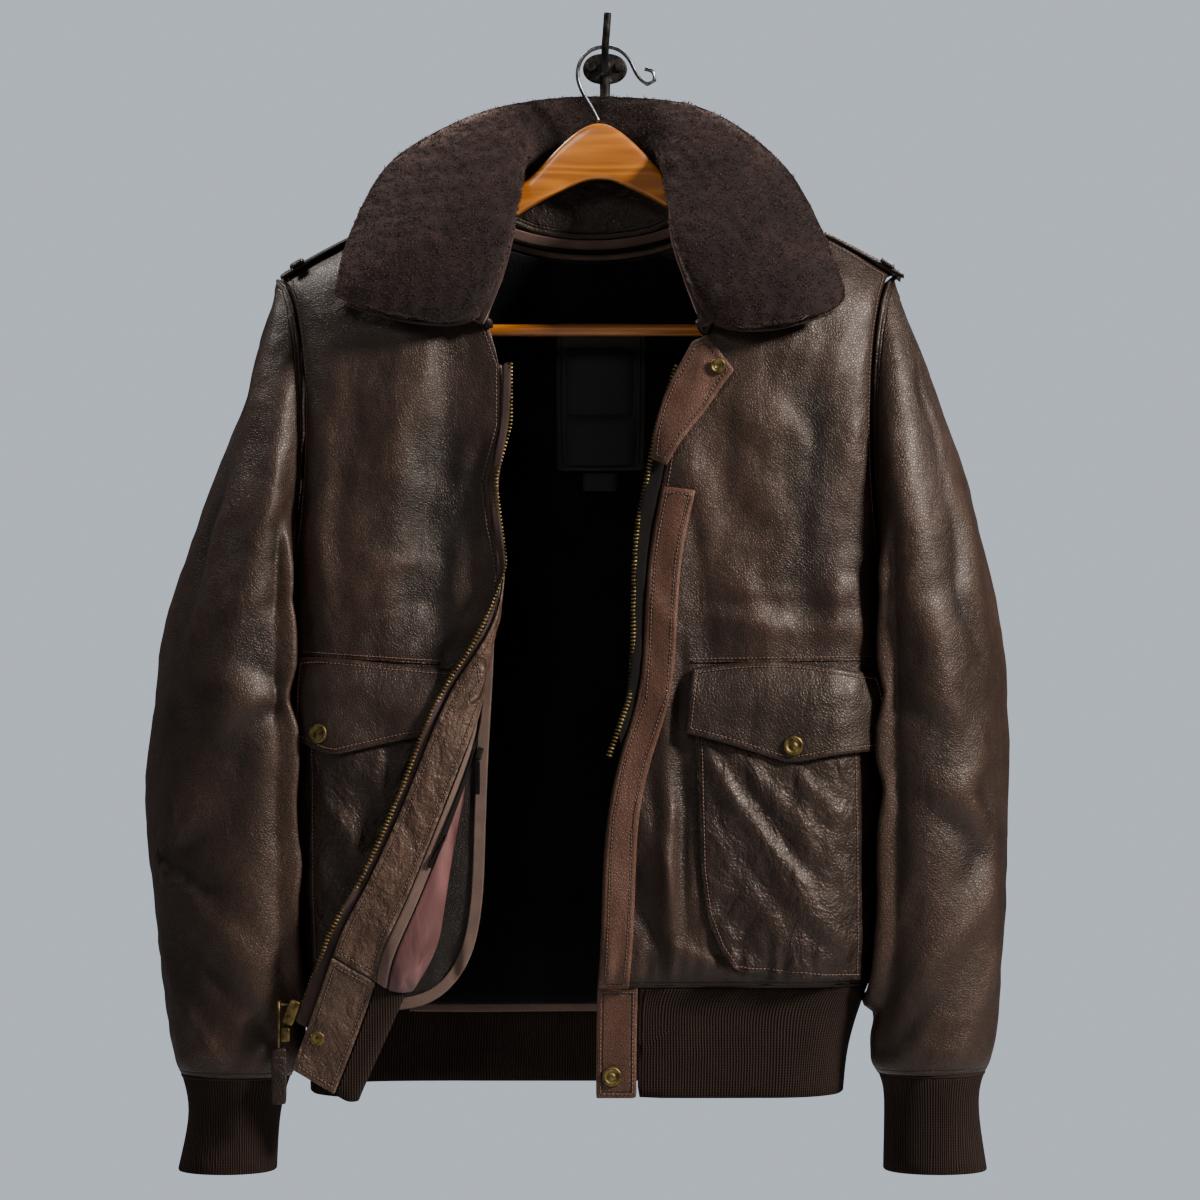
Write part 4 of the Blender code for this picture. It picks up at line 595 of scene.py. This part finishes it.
slots = {part["node"]: part["material_slot"] for part in frame["record"]["subparts"]}
still = lambda at: 0 * at[:, 0]
made = {}  # name: piece, its mesh's tree, rims, and how its points move


def freedom(anchors, at):  # none at the pieces it is sewn to, all a little way off
    return rampOf(distanceTo(anchors, at), 2, 17) if anchors else 1.0


def smoothFloats(mesh, label, values):
    mesh.attributes.new(label, "FLOAT", "POINT").data.foreach_set("value", values.astype(np.float32))


def dress(name, finish, levels=2, out=torsoOut, shift=still, anchors=(), soft=0.62):
    shape = coarse(name)
    rims = rimsOf(shape, out)
    piece = finer(shape, name + "Look", levels, soft)
    shape.free()
    at = points(piece.data)
    fold = shift(at) * freedom(anchors, at)
    mesh = piece.data
    smoothFloats(mesh, "edge", edgeShare(rims, at))
    smoothFloats(mesh, "fold", fold)
    setPoints(mesh, at + out(at) * fold[:, None])
    mesh.materials.clear()
    mesh.materials.append(finishes[finish])
    made[name] = dict(piece=piece, tree=treeOf(mesh), rims=rims, out=out, shift=shift, anchors=anchors)
    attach(piece, "pull" if name in ("zip_pull", "pull_tab") else "jacket")
    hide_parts(name)
    return piece


fronts = ("front_left", "front_right")
seams = ("back", "sleeve_left", "sleeve_right", "collar_stand")
for name in fronts:
    dress(name, "leatherBody", 3, shift=frontShift, anchors=seams)
dress("back", "leatherBody", 2, shift=backShift, anchors=fronts + ("sleeve_left", "sleeve_right"))
print("fronts and back dressed")
for side in ("left", "right"):
    centres = centresOf("sleeve_" + side)
    join = ("cuff_" + side, "epaulette_" + side)
    out = tubeOut(centres)
    dress("sleeve_" + side, "leatherSleeve", 3, out, sleeveShift(side, centres), join)
print("sleeves dressed")

onFront = dict(shift=frontShift, anchors=seams)
pocket = {"strength": 1.3, "ripple": 0.8, "fill": 0.9, "least": -0.3, "edge": (2, 16), "flap": (-520, -550)}
pocketCreases = {  # as the fronts' creases
    "left": [(78, -545, 165, -668, 8, 3.2), (88, -540, 178, -660, 6, -2.4), (110, -552, 188, -640, 7, 2.4),
             (140, -552, 190, -600, 6, 1.8), (80, -600, 140, -690, 7, 1.8), (74, -640, 120, -700, 6, -1.4),
             (100, -620, 168, -690, 6, -1.8), (150, -600, 186, -690, 7, 1.6), (90, -565, 150, -640, 5, 1.6)],
    "right": [(-222, -560, -150, -680, 8, 2.8), (-200, -555, -140, -640, 7, -2.2), (-180, -560, -125, -600, 6, 1.8),
              (-222, -620, -170, -700, 7, 2.0), (-160, -620, -190, -690, 6, -1.6)],
}


def pocketShift(side):
    def shift(at):
        x, z = at[:, 0], at[:, 2]
        box = nodeBox["pocket_" + side]
        inside = np.minimum(np.minimum(x - box[0][0], box[1][0] - x), z - box[0][2])
        own = troughs(x, z, pocketCreases[side]) * pocket["strength"]
        own = np.maximum(own + ripple(x, z, 20, 51) * pocket["ripple"] + pocket["fill"], pocket["least"])
        return frontShift(at) + own * rampOf(inside, *pocket["edge"]) * rampOf(z, *pocket["flap"])
    return shift


nodeBox = {name: (points(nodes[name].data).min(0), points(nodes[name].data).max(0)) for name in nodes}
for side in ("left", "right"):
    dress("pocket_" + side, "leatherPocket", 3, shift=pocketShift(side), anchors=seams)
    dress("pocket_flap_" + side, "leatherDark" if side == "left" else "leatherBody", 3, **onFront)
    for name in ("epaulette_", "epaulette_loop_"):
        dress(name + side, "leatherDark", 2, lambda at: np.tile(up, (len(at), 1)))
    dress("waist_tab_" + side, "leatherFacing" if side == "right" else "leatherStrip", 3)
    dress("cuff_" + side, "knit", 2, tubeOut(centresOf("cuff_" + side, 12)))
    dress("liner_front_" + side, "pile" if side == "left" else "leatherBlack", 2, **onFront)
    dress("zip_tape_" + side, "tape" if side == "left" else "tapePale", 2, **onFront)
for name, finish, levels in (
    ("placket_left", "leatherStrip", 2), ("lapel_left", "leatherStrip", 3), ("facing_right", "leatherFacing", 3),
    ("facing_binding", "binding", 2), ("satin_lining", "satin", 2), ("liner_front_binding", "binding", 2),
    ("liner_zip_tape", "tape", 2),
):
    dress(name, finish, levels, **onFront)
for name, finish, levels in (
    ("waistband", "knit", 2), ("liner_back", "pile", 2), ("liner_hem_binding", "binding", 2),
    ("label_panel", "leatherBlack", 3), ("label_patch_a", "patch", 1), ("label_patch_b", "patch", 1),
    ("label_patch_c", "patch", 1), ("neck_band", "binding", 2), ("neck_zip", "tape", 2),
    ("under_collar", "leatherDark", 2),
):
    dress(name, finish, levels)
standRise = 11  # the stand's top rises behind the hanger, so that no light shows under the collar
stand = dress("collar_stand", "leatherPocket", 2)
at = points(stand.data)
rise = rampOf(at[:, 2], np.median(at[:, 2]), at[:, 2].max()) * standRise
setPoints(stand.data, at + up * rise[:, None])
dress("pull_tab", "leatherPocket", 2)
hard = {
    "zip_slider": "brass", "zip_retainer": "brass", "zip_pull": "brass", "liner_zip_slider": "coil",
    "liner_zip_pull": "coil", "hanger_wood": "wood", "hanger_bar": "bar", "hanger_hook": "steel",
    "wall_hook": "iron", "screw_left": "iron", "screw_right": "iron",
}
for name, finish in hard.items():
    dress(name, finish, 2, soft=0.55)
fold = {"heights": (-520, -556), "aside": 1.9, "least": 1.0, "back": 5.5}
tape = made["zip_tape_left"]["piece"].data  # low down, this tape folds behind the placket
at = points(tape)
tuck = rampOf(at[:, 2], *fold["heights"])
far = distanceTo(("front_left",), at)
aside = tuck * (far * fold["aside"] + fold["least"])
setPoints(tape, at + np.stack([aside, tuck * fold["back"], 0 * far], axis=1))
print("trims, liner, hanger and hook dressed")


# seams: a rolled cord under each join closes the slit that the shells' rounded rims leave
def chains(rims):
    near = {}
    for n, (ends, _, _, _) in enumerate(rims):
        for k in (0, 1):
            near.setdefault(tuple(np.round(ends[k], 2)), []).append((n, k))
    used, found = set(), []
    for start in sorted(near, key=lambda p: len(near[p])):
        for n, k in near[start]:
            if n in used:
                continue
            used.add(n)
            line = [(rims[n][0][k], rims[n][1]), (rims[n][0][1 - k], rims[n][1])]
            while True:
                following = [(m, j) for m, j in near[tuple(np.round(line[-1][0], 2))] if m not in used]
                if not following:
                    break
                m, j = following[0]
                used.add(m)
                line.append((rims[m][0][1 - j], rims[m][1]))
            found.append((np.array([p for p, _ in line]), np.array([q for _, q in line])))
    return found


def turnsOf(sides):
    return np.arange(sides) * 2 * math.pi / sides


def skin(count, sides):  # the faces over a number of rings, closed at both ends
    faces = []
    for foot in range(0, (count - 1) * sides, sides):
        for k in range(sides):
            following = foot + (k + 1) % sides
            faces.append((foot + k, foot + sides + k, sides + following, following))
    return faces + [tuple(range(sides)), tuple(reversed(range((count - 1) * sides, count * sides)))]


def tube(path, normal, radius, sides=8):
    run = unit(np.gradient(path, axis=0))
    side = unit(np.cross(run, normal))
    top = np.cross(side, run)
    corners = [tuple(p + radius * (math.cos(a) * s + math.sin(a) * t)) for p, s, t in zip(path, side, top)
               for a in turnsOf(sides)]
    return corners, skin(len(path), sides)


def outerRims(name):
    return [rim for rim in made[name]["rims"] if rim[3] > 0.35]


def seamCord(name, others, finish, radius=1.9, under=1.6, reach=6.0):
    rims = outerRims(name)
    middles = np.array([r[0].mean(0) for r in rims])
    rims = [r for r, far in zip(rims, distanceTo(others, middles)) if far < reach]
    corners, faces = [], []
    for path, normal in chains(rims):
        if len(path) < 3:
            continue
        more, quads = tube(path - normal * under, normal, radius)
        faces += [tuple(i + len(corners) for i in quad) for quad in quads]
        corners += more
    roundPiece(name + "Seam", corners, faces, finish, slots[name])


def roundPiece(name, corners, faces, finish, slot):
    piece = placed(name, meshOf(name, corners, faces))
    shape = bmesh.new()
    shape.from_mesh(piece.data)
    bmesh.ops.recalc_face_normals(shape, faces=shape.faces)
    shape.to_mesh(piece.data)
    shape.free()
    for face in piece.data.polygons:
        face.use_smooth = len(face.vertices) == 4
    smoothFloats(piece.data, "edge", np.full(len(piece.data.vertices), 9.0))
    piece.data.materials.append(finishes[finish])
    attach(piece, "jacket")
    return piece


sewnTo = {
    "sleeve_left": ("front_left", "back"), "sleeve_right": ("front_right", "back"),
    "back": ("front_left", "front_right", "waistband"), "front_left": ("waistband", "waist_tab_left"),
    "front_right": ("waistband", "waist_tab_right"),
}
for name, others in sewnTo.items():
    seamCord(name, others, "leatherDark")
seamCord("collar_stand", ("back", *fronts, "neck_band"), "leatherDark", radius=2.8, under=1.8, reach=9.0)
seamCord("under_collar", ("collar_stand", "back", "hanger_wood"), "furTips", radius=4.2, under=0.0, reach=16.0)
for side in ("left", "right"):
    seamCord("cuff_" + side, ("sleeve_" + side,), "knit")
print("seams closed")


def runOf(path):
    return np.concatenate([[0], np.cumsum(np.linalg.norm(np.diff(path, axis=0), axis=1))])


def aroundShare(name, middle, gap, count=120):
    mesh = made[name]["piece"].data
    at = points(mesh)
    x, y = at[:, 0] - middle[0], at[:, 1] - middle[1]
    turn = np.mod(np.arctan2(x, -y) - gap, 2 * math.pi)
    bins = np.linspace(0, 2 * math.pi, count + 1)
    which = np.clip(np.digitize(turn, bins) - 1, 0, count - 1)
    good = np.unique(which)
    ring = np.array([at[which == i][:, :2].mean(0) for i in good])
    spots = ((bins[1:] + bins[:-1]) / 2)[good]
    values = np.interp(turn, spots, runOf(ring))
    if name == "waistband":  # its right end is folded back on itself, so there the ribs follow x
        values = np.where((at[:, 1] < -100) & (at[:, 0] < -120), -at[:, 0] * 1.1, values)
    smoothFloats(mesh, "around", values)


aroundShare("waistband", (-15, -80), 0.0)
for side in ("left", "right"):
    box = points(made["cuff_" + side]["piece"].data)
    aroundShare("cuff_" + side, ((box.min(0) + box.max(0)) / 2)[:2], math.pi)


# stitches, zip teeth, coils and fur: one shape set at points, made real and given its finish
def wire(tree, *links):
    for first, output, second, socket in links:
        tree.links.new(first.outputs[output], second.inputs[socket])


def pointsTree(name, **kinds):
    tree = bpy.data.node_groups.new(name, "GeometryNodeTree")
    sockets = {}
    for label, kind in dict(Base="Geometry", Shape="Object", Finish="Material", **kinds).items():
        socket = tree.interface.new_socket(label, in_out="INPUT", socket_type="NodeSocket" + kind)
        sockets[label] = socket.identifier
    tree.interface.new_socket("Result", in_out="OUTPUT", socket_type="NodeSocketGeometry")
    new = tree.nodes.new
    start, end = new("NodeGroupInput"), new("NodeGroupOutput")
    shape, put = new("GeometryNodeObjectInfo"), new("GeometryNodeInstanceOnPoints")
    real, paint = new("GeometryNodeRealizeInstances"), new("GeometryNodeSetMaterial")
    wire(
        tree, (start, "Shape", shape, "Object"), (shape, "Geometry", put, "Instance"), (put, 0, real, 0),
        (real, 0, paint, "Geometry"), (start, "Finish", paint, "Material"),
    )
    return tree, sockets, new, (start, put, paint, end)


def grow(piece, tree, sockets, **values):
    grower = piece.modifiers.new("grower", "NODES")
    grower.node_group = tree
    for label, value in values.items():
        grower[sockets[label]] = value
    return plain(piece)


def repeatTree():
    tree, sockets, new, (start, put, paint, end) = pointsTree("repeatAlong")
    turn = new("FunctionNodeAxesToRotation")
    turn.primary_axis, turn.secondary_axis = "Y", "Z"
    for socket, label in enumerate(("along", "out")):
        held = new("GeometryNodeInputNamedAttribute")
        held.data_type = "FLOAT_VECTOR"
        held.inputs["Name"].default_value = label
        wire(tree, (held, "Attribute", turn, socket))
    wire(tree, (start, "Base", put, "Points"), (turn, 0, put, "Rotation"), (paint, 0, end, 0))
    return tree, sockets


repeater = repeatTree()


def repeat(name, at, along, out, shape, finish, slot, body="jacket"):
    mesh = meshOf(name, at, [])
    for label, values in (("along", along), ("out", out)):
        held = mesh.attributes.new(label, "FLOAT_VECTOR", "POINT")
        held.data.foreach_set("vector", values.astype(np.float32).ravel())
    piece = grow(placed(name, mesh), *repeater, Shape=shape, Finish=finishes[finish])
    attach(piece, body)
    return piece


def rings(profile, sides):
    corners = [(wide * math.cos(turn), y, high * math.sin(turn)) for y, wide, high in profile
               for turn in turnsOf(sides)]
    return corners, skin(len(profile), sides)


def loose(name, corners, faces):  # a shape to repeat, not itself in the scene
    return bpy.data.objects.new(name, meshOf(name, corners, faces))


# each profile row: along, half width, half height, mm
stitchProfile = [(-1.3, 0.16, 0.12), (-0.85, 0.52, 0.42), (0.85, 0.52, 0.42), (1.3, 0.16, 0.12)]
toothProfile = [(-0.8, 0.8, 2.2), (-0.5, 1.1, 2.7), (0.5, 1.1, 2.7), (0.8, 0.8, 2.2)]
coilProfile = [(-0.45, 0.9, 0.7), (0.0, 1.25, 0.95), (0.45, 0.9, 0.7)]
stitchShape = loose("stitchShape", *rings(stitchProfile, 5))
toothShape = loose("toothShape", *rings(toothProfile, 6))
coilShape = loose("coilShape", *rings(coilProfile, 6))

sewing = {
    "pitch": 3.1, "inset": 4.4,
    "narrow": {"waist_tab_left": 3.2, "pull_tab": 1.8, "label_patch_a": 1.6, "label_patch_b": 1.6},
}
aboveHem = lambda p: p[2] > -705
sewn = {"front_left": lambda p: p[0] > 30 and aboveHem(p), "front_right": aboveHem, "back": aboveHem}
sewn.update(dict.fromkeys((
    "pocket_left", "pocket_right", "pocket_flap_left", "pocket_flap_right", "epaulette_left", "epaulette_right",
    "placket_left", "lapel_left", "facing_right", "waist_tab_left", "waist_tab_right", "under_collar",
    "label_panel", "label_patch_a", "label_patch_b", "pull_tab",
), lambda p: True))


def carried(piece, at):
    return at + piece["out"](at) * (piece["shift"](at) * freedom(piece["anchors"], at))[:, None]


def edgeStitches(name, keep, inset, pitch):
    piece, rims = made[name], outerRims(name)
    at, along, out = [], [], []
    for ends, normal, middle, _ in rims:
        run = ends[1] - ends[0]
        length = np.linalg.norm(run)
        if length < 1.2:
            continue
        tangent = run / length
        inward = np.cross(normal, tangent)
        if (middle - ends.mean(0)) @ inward < 0:
            inward = -inward
        count = max(1, round(length / pitch))
        for k in range(count):
            p = ends[0] + run * (k + 0.5) / count + inward * inset
            if keep(p):
                at.append(p), along.append(tangent), out.append(normal)
    if not at:
        return None
    at, along, out = map(np.array, (at, along, out))
    good = edgeShare(rims, at) > inset * 0.8  # not where the row would turn a corner
    at, along, out = at[good], along[good], out[good]
    return seated(piece["tree"], carried(piece, at), along, out)


def seated(tree, at, along, out, lift=0.12):
    places, runs, ups = [], [], []
    for p, run, normal in zip(at, along, out):
        place, face, _, _ = tree.find_nearest(Vector(p * mm), 0.02)
        if place is None or np.dot(face[:], normal) < 0.3:
            continue
        face = np.array(face[:])
        run = run - face * (run @ face)
        places.append(np.array(place[:]) / mm + face * lift)
        runs.append(run / np.linalg.norm(run))
        ups.append(face)
    return np.array(places), np.array(runs), np.array(ups)


for name, keep in sewn.items():
    found = edgeStitches(name, keep, sewing["narrow"].get(name, sewing["inset"]), sewing["pitch"])
    if found:
        body = "pull" if name == "pull_tab" else "jacket"
        repeat(name + "Stitches", *found, stitchShape, "thread", slots[name], body=body)

# the seam over each pocket flap: a fine welt with stitches above it, from x z to x z, mm
welt = {
    "front_left": ((65, -473), (211, -471)), "front_right": ((-241, -467), (-126, -474.5)),
    "radius": 0.95, "stitchesAbove": 2.6,
}
for name in fronts:
    tree = made[name]["tree"]
    for lift in (0.0, welt["stitchesAbove"]):
        at, out = [], []
        for x, z in np.linspace(*welt[name], 48):
            place, normal, _, _ = tree.ray_cast(Vector((x * mm, -0.4, (z + lift) * mm)), Vector((0, 1, 0)))
            if place:
                at.append(np.array(place[:]) / mm)
                out.append(np.array(normal[:]))
        at, out = np.array(at), np.array(out)
        if lift:
            found = seated(tree, at, unit(np.gradient(at, axis=0)), out)
            repeat(name + "WeltStitches", *found, stitchShape, "thread", slots[name])
        else:
            roundPiece(name + "Welt", *tube(at, out, welt["radius"]), "leatherPocket", slots[name])
print("stitches sewn")


def tapePath(name, panel, least):
    shape = coarse(name)
    at = np.array([v.co[:] for v in shape.verts]) / mm
    shape.free()
    far = distanceTo([panel], at)
    at = at[far > least]
    at = at[np.argsort(-at[:, 2])]
    at = at[: len(at) // 2 * 2].reshape(-1, 2, 3).mean(1)
    return carried(made[name], at)


def spaced(path, pitch):
    run = runOf(path)
    spots = np.arange(pitch / 2, run[-1], pitch)
    at = np.stack([np.interp(spots, run, path[:, i]) for i in range(3)], axis=1)
    for _ in range(3):
        at[1:-1] = (at[:-2] + 2 * at[1:-1] + at[2:]) / 4
    return at, unit(np.gradient(at, axis=0))


zips = {  # least: how far from the panel's edge the teeth's side of the tape lies; foot: the last tooth's z
    "zip_tape_right": dict(panel="front_right", least=4.2, foot=-735),
    "zip_tape_left": dict(panel="front_left", least=5.2, foot=-545),
}
toothPitch, coilPitch = 2.9, 1.35
for name, zipper in zips.items():
    path = tapePath(name, zipper["panel"], zipper["least"])
    at, along = spaced(path[path[:, 2] > zipper["foot"]], toothPitch)
    tree = nodeTree(zipper["panel"])
    near = np.array([tree.find_nearest(Vector(p * mm))[0][:] for p in at]) / mm
    away = at - near
    away = unit(away - along * np.sum(away * along, axis=1, keepdims=True))
    repeat(name.replace("tape", "teeth"), at - away * 0.9, along, away, toothShape, "brass", "brass")

# small dark coils: the liner's zip at the back of the neck, and its front zip on the facing's binding
for name, along in (("neck_zip", 0), ("liner_zip_tape", 2)):
    at = points(made[name]["piece"].data)
    order = np.linspace(at[:, along].min() + 2, at[:, along].max() - 2, 40)
    near = [at[np.abs(at[:, along] - spot) < 3.5] for spot in order]
    path = np.array([[(p[:, i].max() + p[:, i].min()) / 2 for i in range(3)] for p in near if len(p)])
    path[:, along] = order[: len(path)]
    at, run = spaced(path, coilPitch)
    front = np.tile([0.0, -1.0, 0.0], (len(at), 1))
    found = seated(made[name]["tree"], at + front * 2.5, run, front, 0.5)
    if len(found[0]):
        repeat(name + "Coil", found[0], found[1], np.cross(found[1], found[2]), coilShape, "coil", slots[name])
print("zip teeth set")


# the collar's sheared fur: an uneven fine surface with short tufts all over
fur = {"clumps": 0.605, "sink": 1.4, "tufts": 12400, "length": 2.3, "lean": 0.12, "spin": 3.1,
       "growth": (0.65, 1.15), "seed": 7}


def tuftShape():
    turn = np.random.default_rng(fur["seed"])
    corners, faces = [], []
    for k in range(4):
        spin, lean = turn.uniform(0, 6.28), turn.uniform(1.0, 2.5)
        side = np.array([math.cos(spin), math.sin(spin), 0])
        tip = np.array([-math.sin(spin), math.cos(spin), 0]) * lean
        foot = np.array([turn.uniform(-1, 1), turn.uniform(-1, 1), -0.6])
        high = fur["length"] * turn.uniform(0.75, 1.15)
        first = len(corners)
        bend = foot + tip * 0.35 + up * high * 0.55
        corners += [foot - side * 0.3, foot + side * 0.3, bend + side * 0.22, bend - side * 0.22,
                    foot + tip + up * high]
        faces += [(first, first + 1, first + 2, first + 3), (first + 3, first + 2, first + 4)]
    return loose("tuftShape", corners, faces)


def furTree():
    tree, sockets, new, (start, put, paint, end) = pointsTree("furTufts", Density="Float", Seed="Int")
    spread, turn = new("GeometryNodeDistributePointsOnFaces"), new("FunctionNodeRotateRotation")
    lean, growth = new("FunctionNodeRandomValue"), new("FunctionNodeRandomValue")
    both = new("GeometryNodeJoinGeometry")
    lean.data_type = "FLOAT_VECTOR"
    lean.inputs["Min"].default_value = (-fur["lean"], -fur["lean"], -fur["spin"])
    lean.inputs["Max"].default_value = (fur["lean"], fur["lean"], fur["spin"])
    growth.inputs[2].default_value, growth.inputs[3].default_value = fur["growth"]
    turn.rotation_space = "LOCAL"
    wire(
        tree, (start, "Base", spread, "Mesh"), (start, "Density", spread, "Density"),
        (start, "Seed", spread, "Seed"), (spread, "Points", put, "Points"),
        (spread, "Rotation", turn, "Rotation"), (lean, "Value", turn, "Rotate By"),
        (turn, "Rotation", put, "Rotation"), (growth, 1, put, "Scale"), (paint, 0, both, 0),
        (start, "Base", both, 0), (both, 0, end, 0),
    )
    return tree, sockets


collar = dress("collar_fur", "fur", 3, soft=0.3)
at, normals = points(collar.data), vertexRows(collar.data, "normal")
x, y, z = at.T
clump = ripple(x + y, z, 17, 41) + 0.6 * ripple(x - y, z, 8.5, 43)
setPoints(collar.data, at + normals * (clump * fur["clumps"] - fur["sink"])[:, None])
density = fur["tufts"] / sum(face.area for face in collar.data.polygons)
grow(collar, *furTree(), Shape=tuftShape(), Density=density, Seed=fur["seed"], Finish=finishes["furTips"])
print("fur grown,", len(collar.data.polygons), "faces")


# press studs: turned brass caps over the solids' discs; each row a share of the radius and of the height
studs = {
    "cap": [(0.0, 1.0), (0.16, 0.97), (0.3, 0.8), (0.34, 0.62), (0.58, 0.6), (0.66, 0.84), (0.8, 1.0),
            (0.94, 0.86), (1.0, 0.5), (1.0, -0.1), (0.9, -0.3)],
    "flat": [(0.0, 0.5), (0.3, 0.52), (0.42, 0.42), (0.5, 0.62), (0.88, 0.7), (1.0, 0.4), (1.0, -0.1),
             (0.9, -0.3)],
    "hollow": [(0.0, -0.2), (0.3, -0.2), (0.36, 0.3), (0.46, 0.42), (0.6, 0.4), (0.68, 0.75), (0.9, 0.9),
               (1.0, 0.5), (1.0, -0.1), (0.9, -0.3)],
}


def turnStud(name, kind, high, sides=36):
    at = points(nodes[name].data)
    middle = (at.max(0) + at.min(0)) / 2
    axis = np.linalg.svd(at - at.mean(0), full_matrices=False)[2][2]
    axis = axis if axis[1] < 0 else -axis
    side = unit(np.cross(axis, up))
    top = np.cross(side, axis)
    radius = np.ptp((at - middle) @ side) / 2
    deep = np.ptp((at - middle) @ axis) / 2
    base = middle + axis * (deep - high)
    if "waist" not in name:
        base = base + torsoOut(middle[None])[0] * frontShift(middle[None])[0]
    corners = []
    for share, height in studs[kind]:
        for turn in turnsOf(sides):
            spoke = (side * math.cos(turn) + top * math.sin(turn)) * max(share, 0.01) * radius
            corners.append(base + spoke + axis * height * high)
    stud = roundPiece(name + "Cap", corners, skin(len(studs[kind]), sides), "brass", "brass")
    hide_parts(name)


for name, kind, high in (
    ("pocket_stud_left", "cap", 2.0), ("pocket_stud_right", "cap", 2.0), ("waist_stud_left", "cap", 2.0),
    ("waist_stud_right", "flat", 1.4), ("lapel_socket", "hollow", 1.6),
):
    turnStud(name, kind, high)
print("studs turned")


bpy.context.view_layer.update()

# the number of faces in all the scene's meshes
faceCount = sum(len(piece.data.polygons) for piece in bpy.data.objects if piece.type == "MESH")
print("sheets declared;", faceCount, "faces in all")

# camera at the photograph's viewing angle, soft light and a pale floor
photo = {"lens": 112.56, "sensor": 36, "eye": (-0.004, -3.0, -0.4254)}
view = bpy.data.cameras.new("photoView")
view.lens, view.sensor_width = photo["lens"], photo["sensor"]
eye = placed("photoView", view)
eye.location, eye.rotation_euler = photo["eye"], (math.pi / 2, 0, 0)
bpy.context.scene.camera = eye


lamps = {
    "key": dict(place=(2.35, -1.4, 1.05), aim=(0.0, -0.05, -0.45), size=0.55, power=190, colour=(1.0, 0.955, 0.9)),
    "front": dict(place=(-0.7, -2.6, 1.1), aim=(0.0, -0.05, -0.45), size=0.7, power=13, colour=(1.0, 0.98, 0.95)),
    "fill": dict(place=(-2.4, -1.4, 0.3), aim=(-0.1, -0.1, -0.5), size=0.8, power=5, colour=(0.94, 0.97, 1.0)),
    "rearGlow": dict(place=(0.6, 2.2, 1.4), aim=(0, 0, -0.4), size=1.6, power=60, colour=(0.95, 0.97, 1.0)),
    "collarRim": dict(place=(-1.3, 0.5, 1.5), aim=(-0.1, -0.05, -0.1), size=0.5, power=36, colour=(1.0, 0.97, 0.94)),
}
for name, lamp in lamps.items():
    data = bpy.data.lights.new(name, "AREA")
    data.shape, data.size, data.energy, data.color = "DISK", lamp["size"], lamp["power"], lamp["colour"]
    light = placed(name, data)
    light.location = lamp["place"]
    light.rotation_euler = (Vector(lamp["aim"]) - Vector(lamp["place"])).to_track_quat("-Z", "Y").to_euler()

wall = {"colour": (175, 184, 195), "asLight": 0.1, "asSeen": 1.27}
world = bpy.data.worlds.new("studio")
bpy.context.scene.world = world
world.use_nodes = True
sky = world.node_tree.nodes["Background"]
sky.inputs[0].default_value = (*tint(*wall["colour"]), 1)
ray = world.node_tree.nodes.new("ShaderNodeLightPath")
level = world.node_tree.nodes.new("ShaderNodeMapRange")
level.inputs[3].default_value, level.inputs[4].default_value = wall["asLight"], wall["asSeen"]
wire(world.node_tree, (ray, "Is Camera Ray", level, 0), (level, 0, sky, 1))

half, foot = 4000, -1750  # the floor, mm
corners = [(x * half, y * half, foot) for x, y in ((-1, -1), (1, -1), (1, 1), (-1, 1))]
floor = placed("floor", meshOf("floor", corners, [(0, 1, 2, 3)]))
pale = Finish("paleFloor", Roughness=0.7)
floor.data.materials.append(pale.done(pale.mix(pale.noise(2, 3), tint(196, 199, 202), tint(206, 208, 210))))
print("camera, light and floor set")
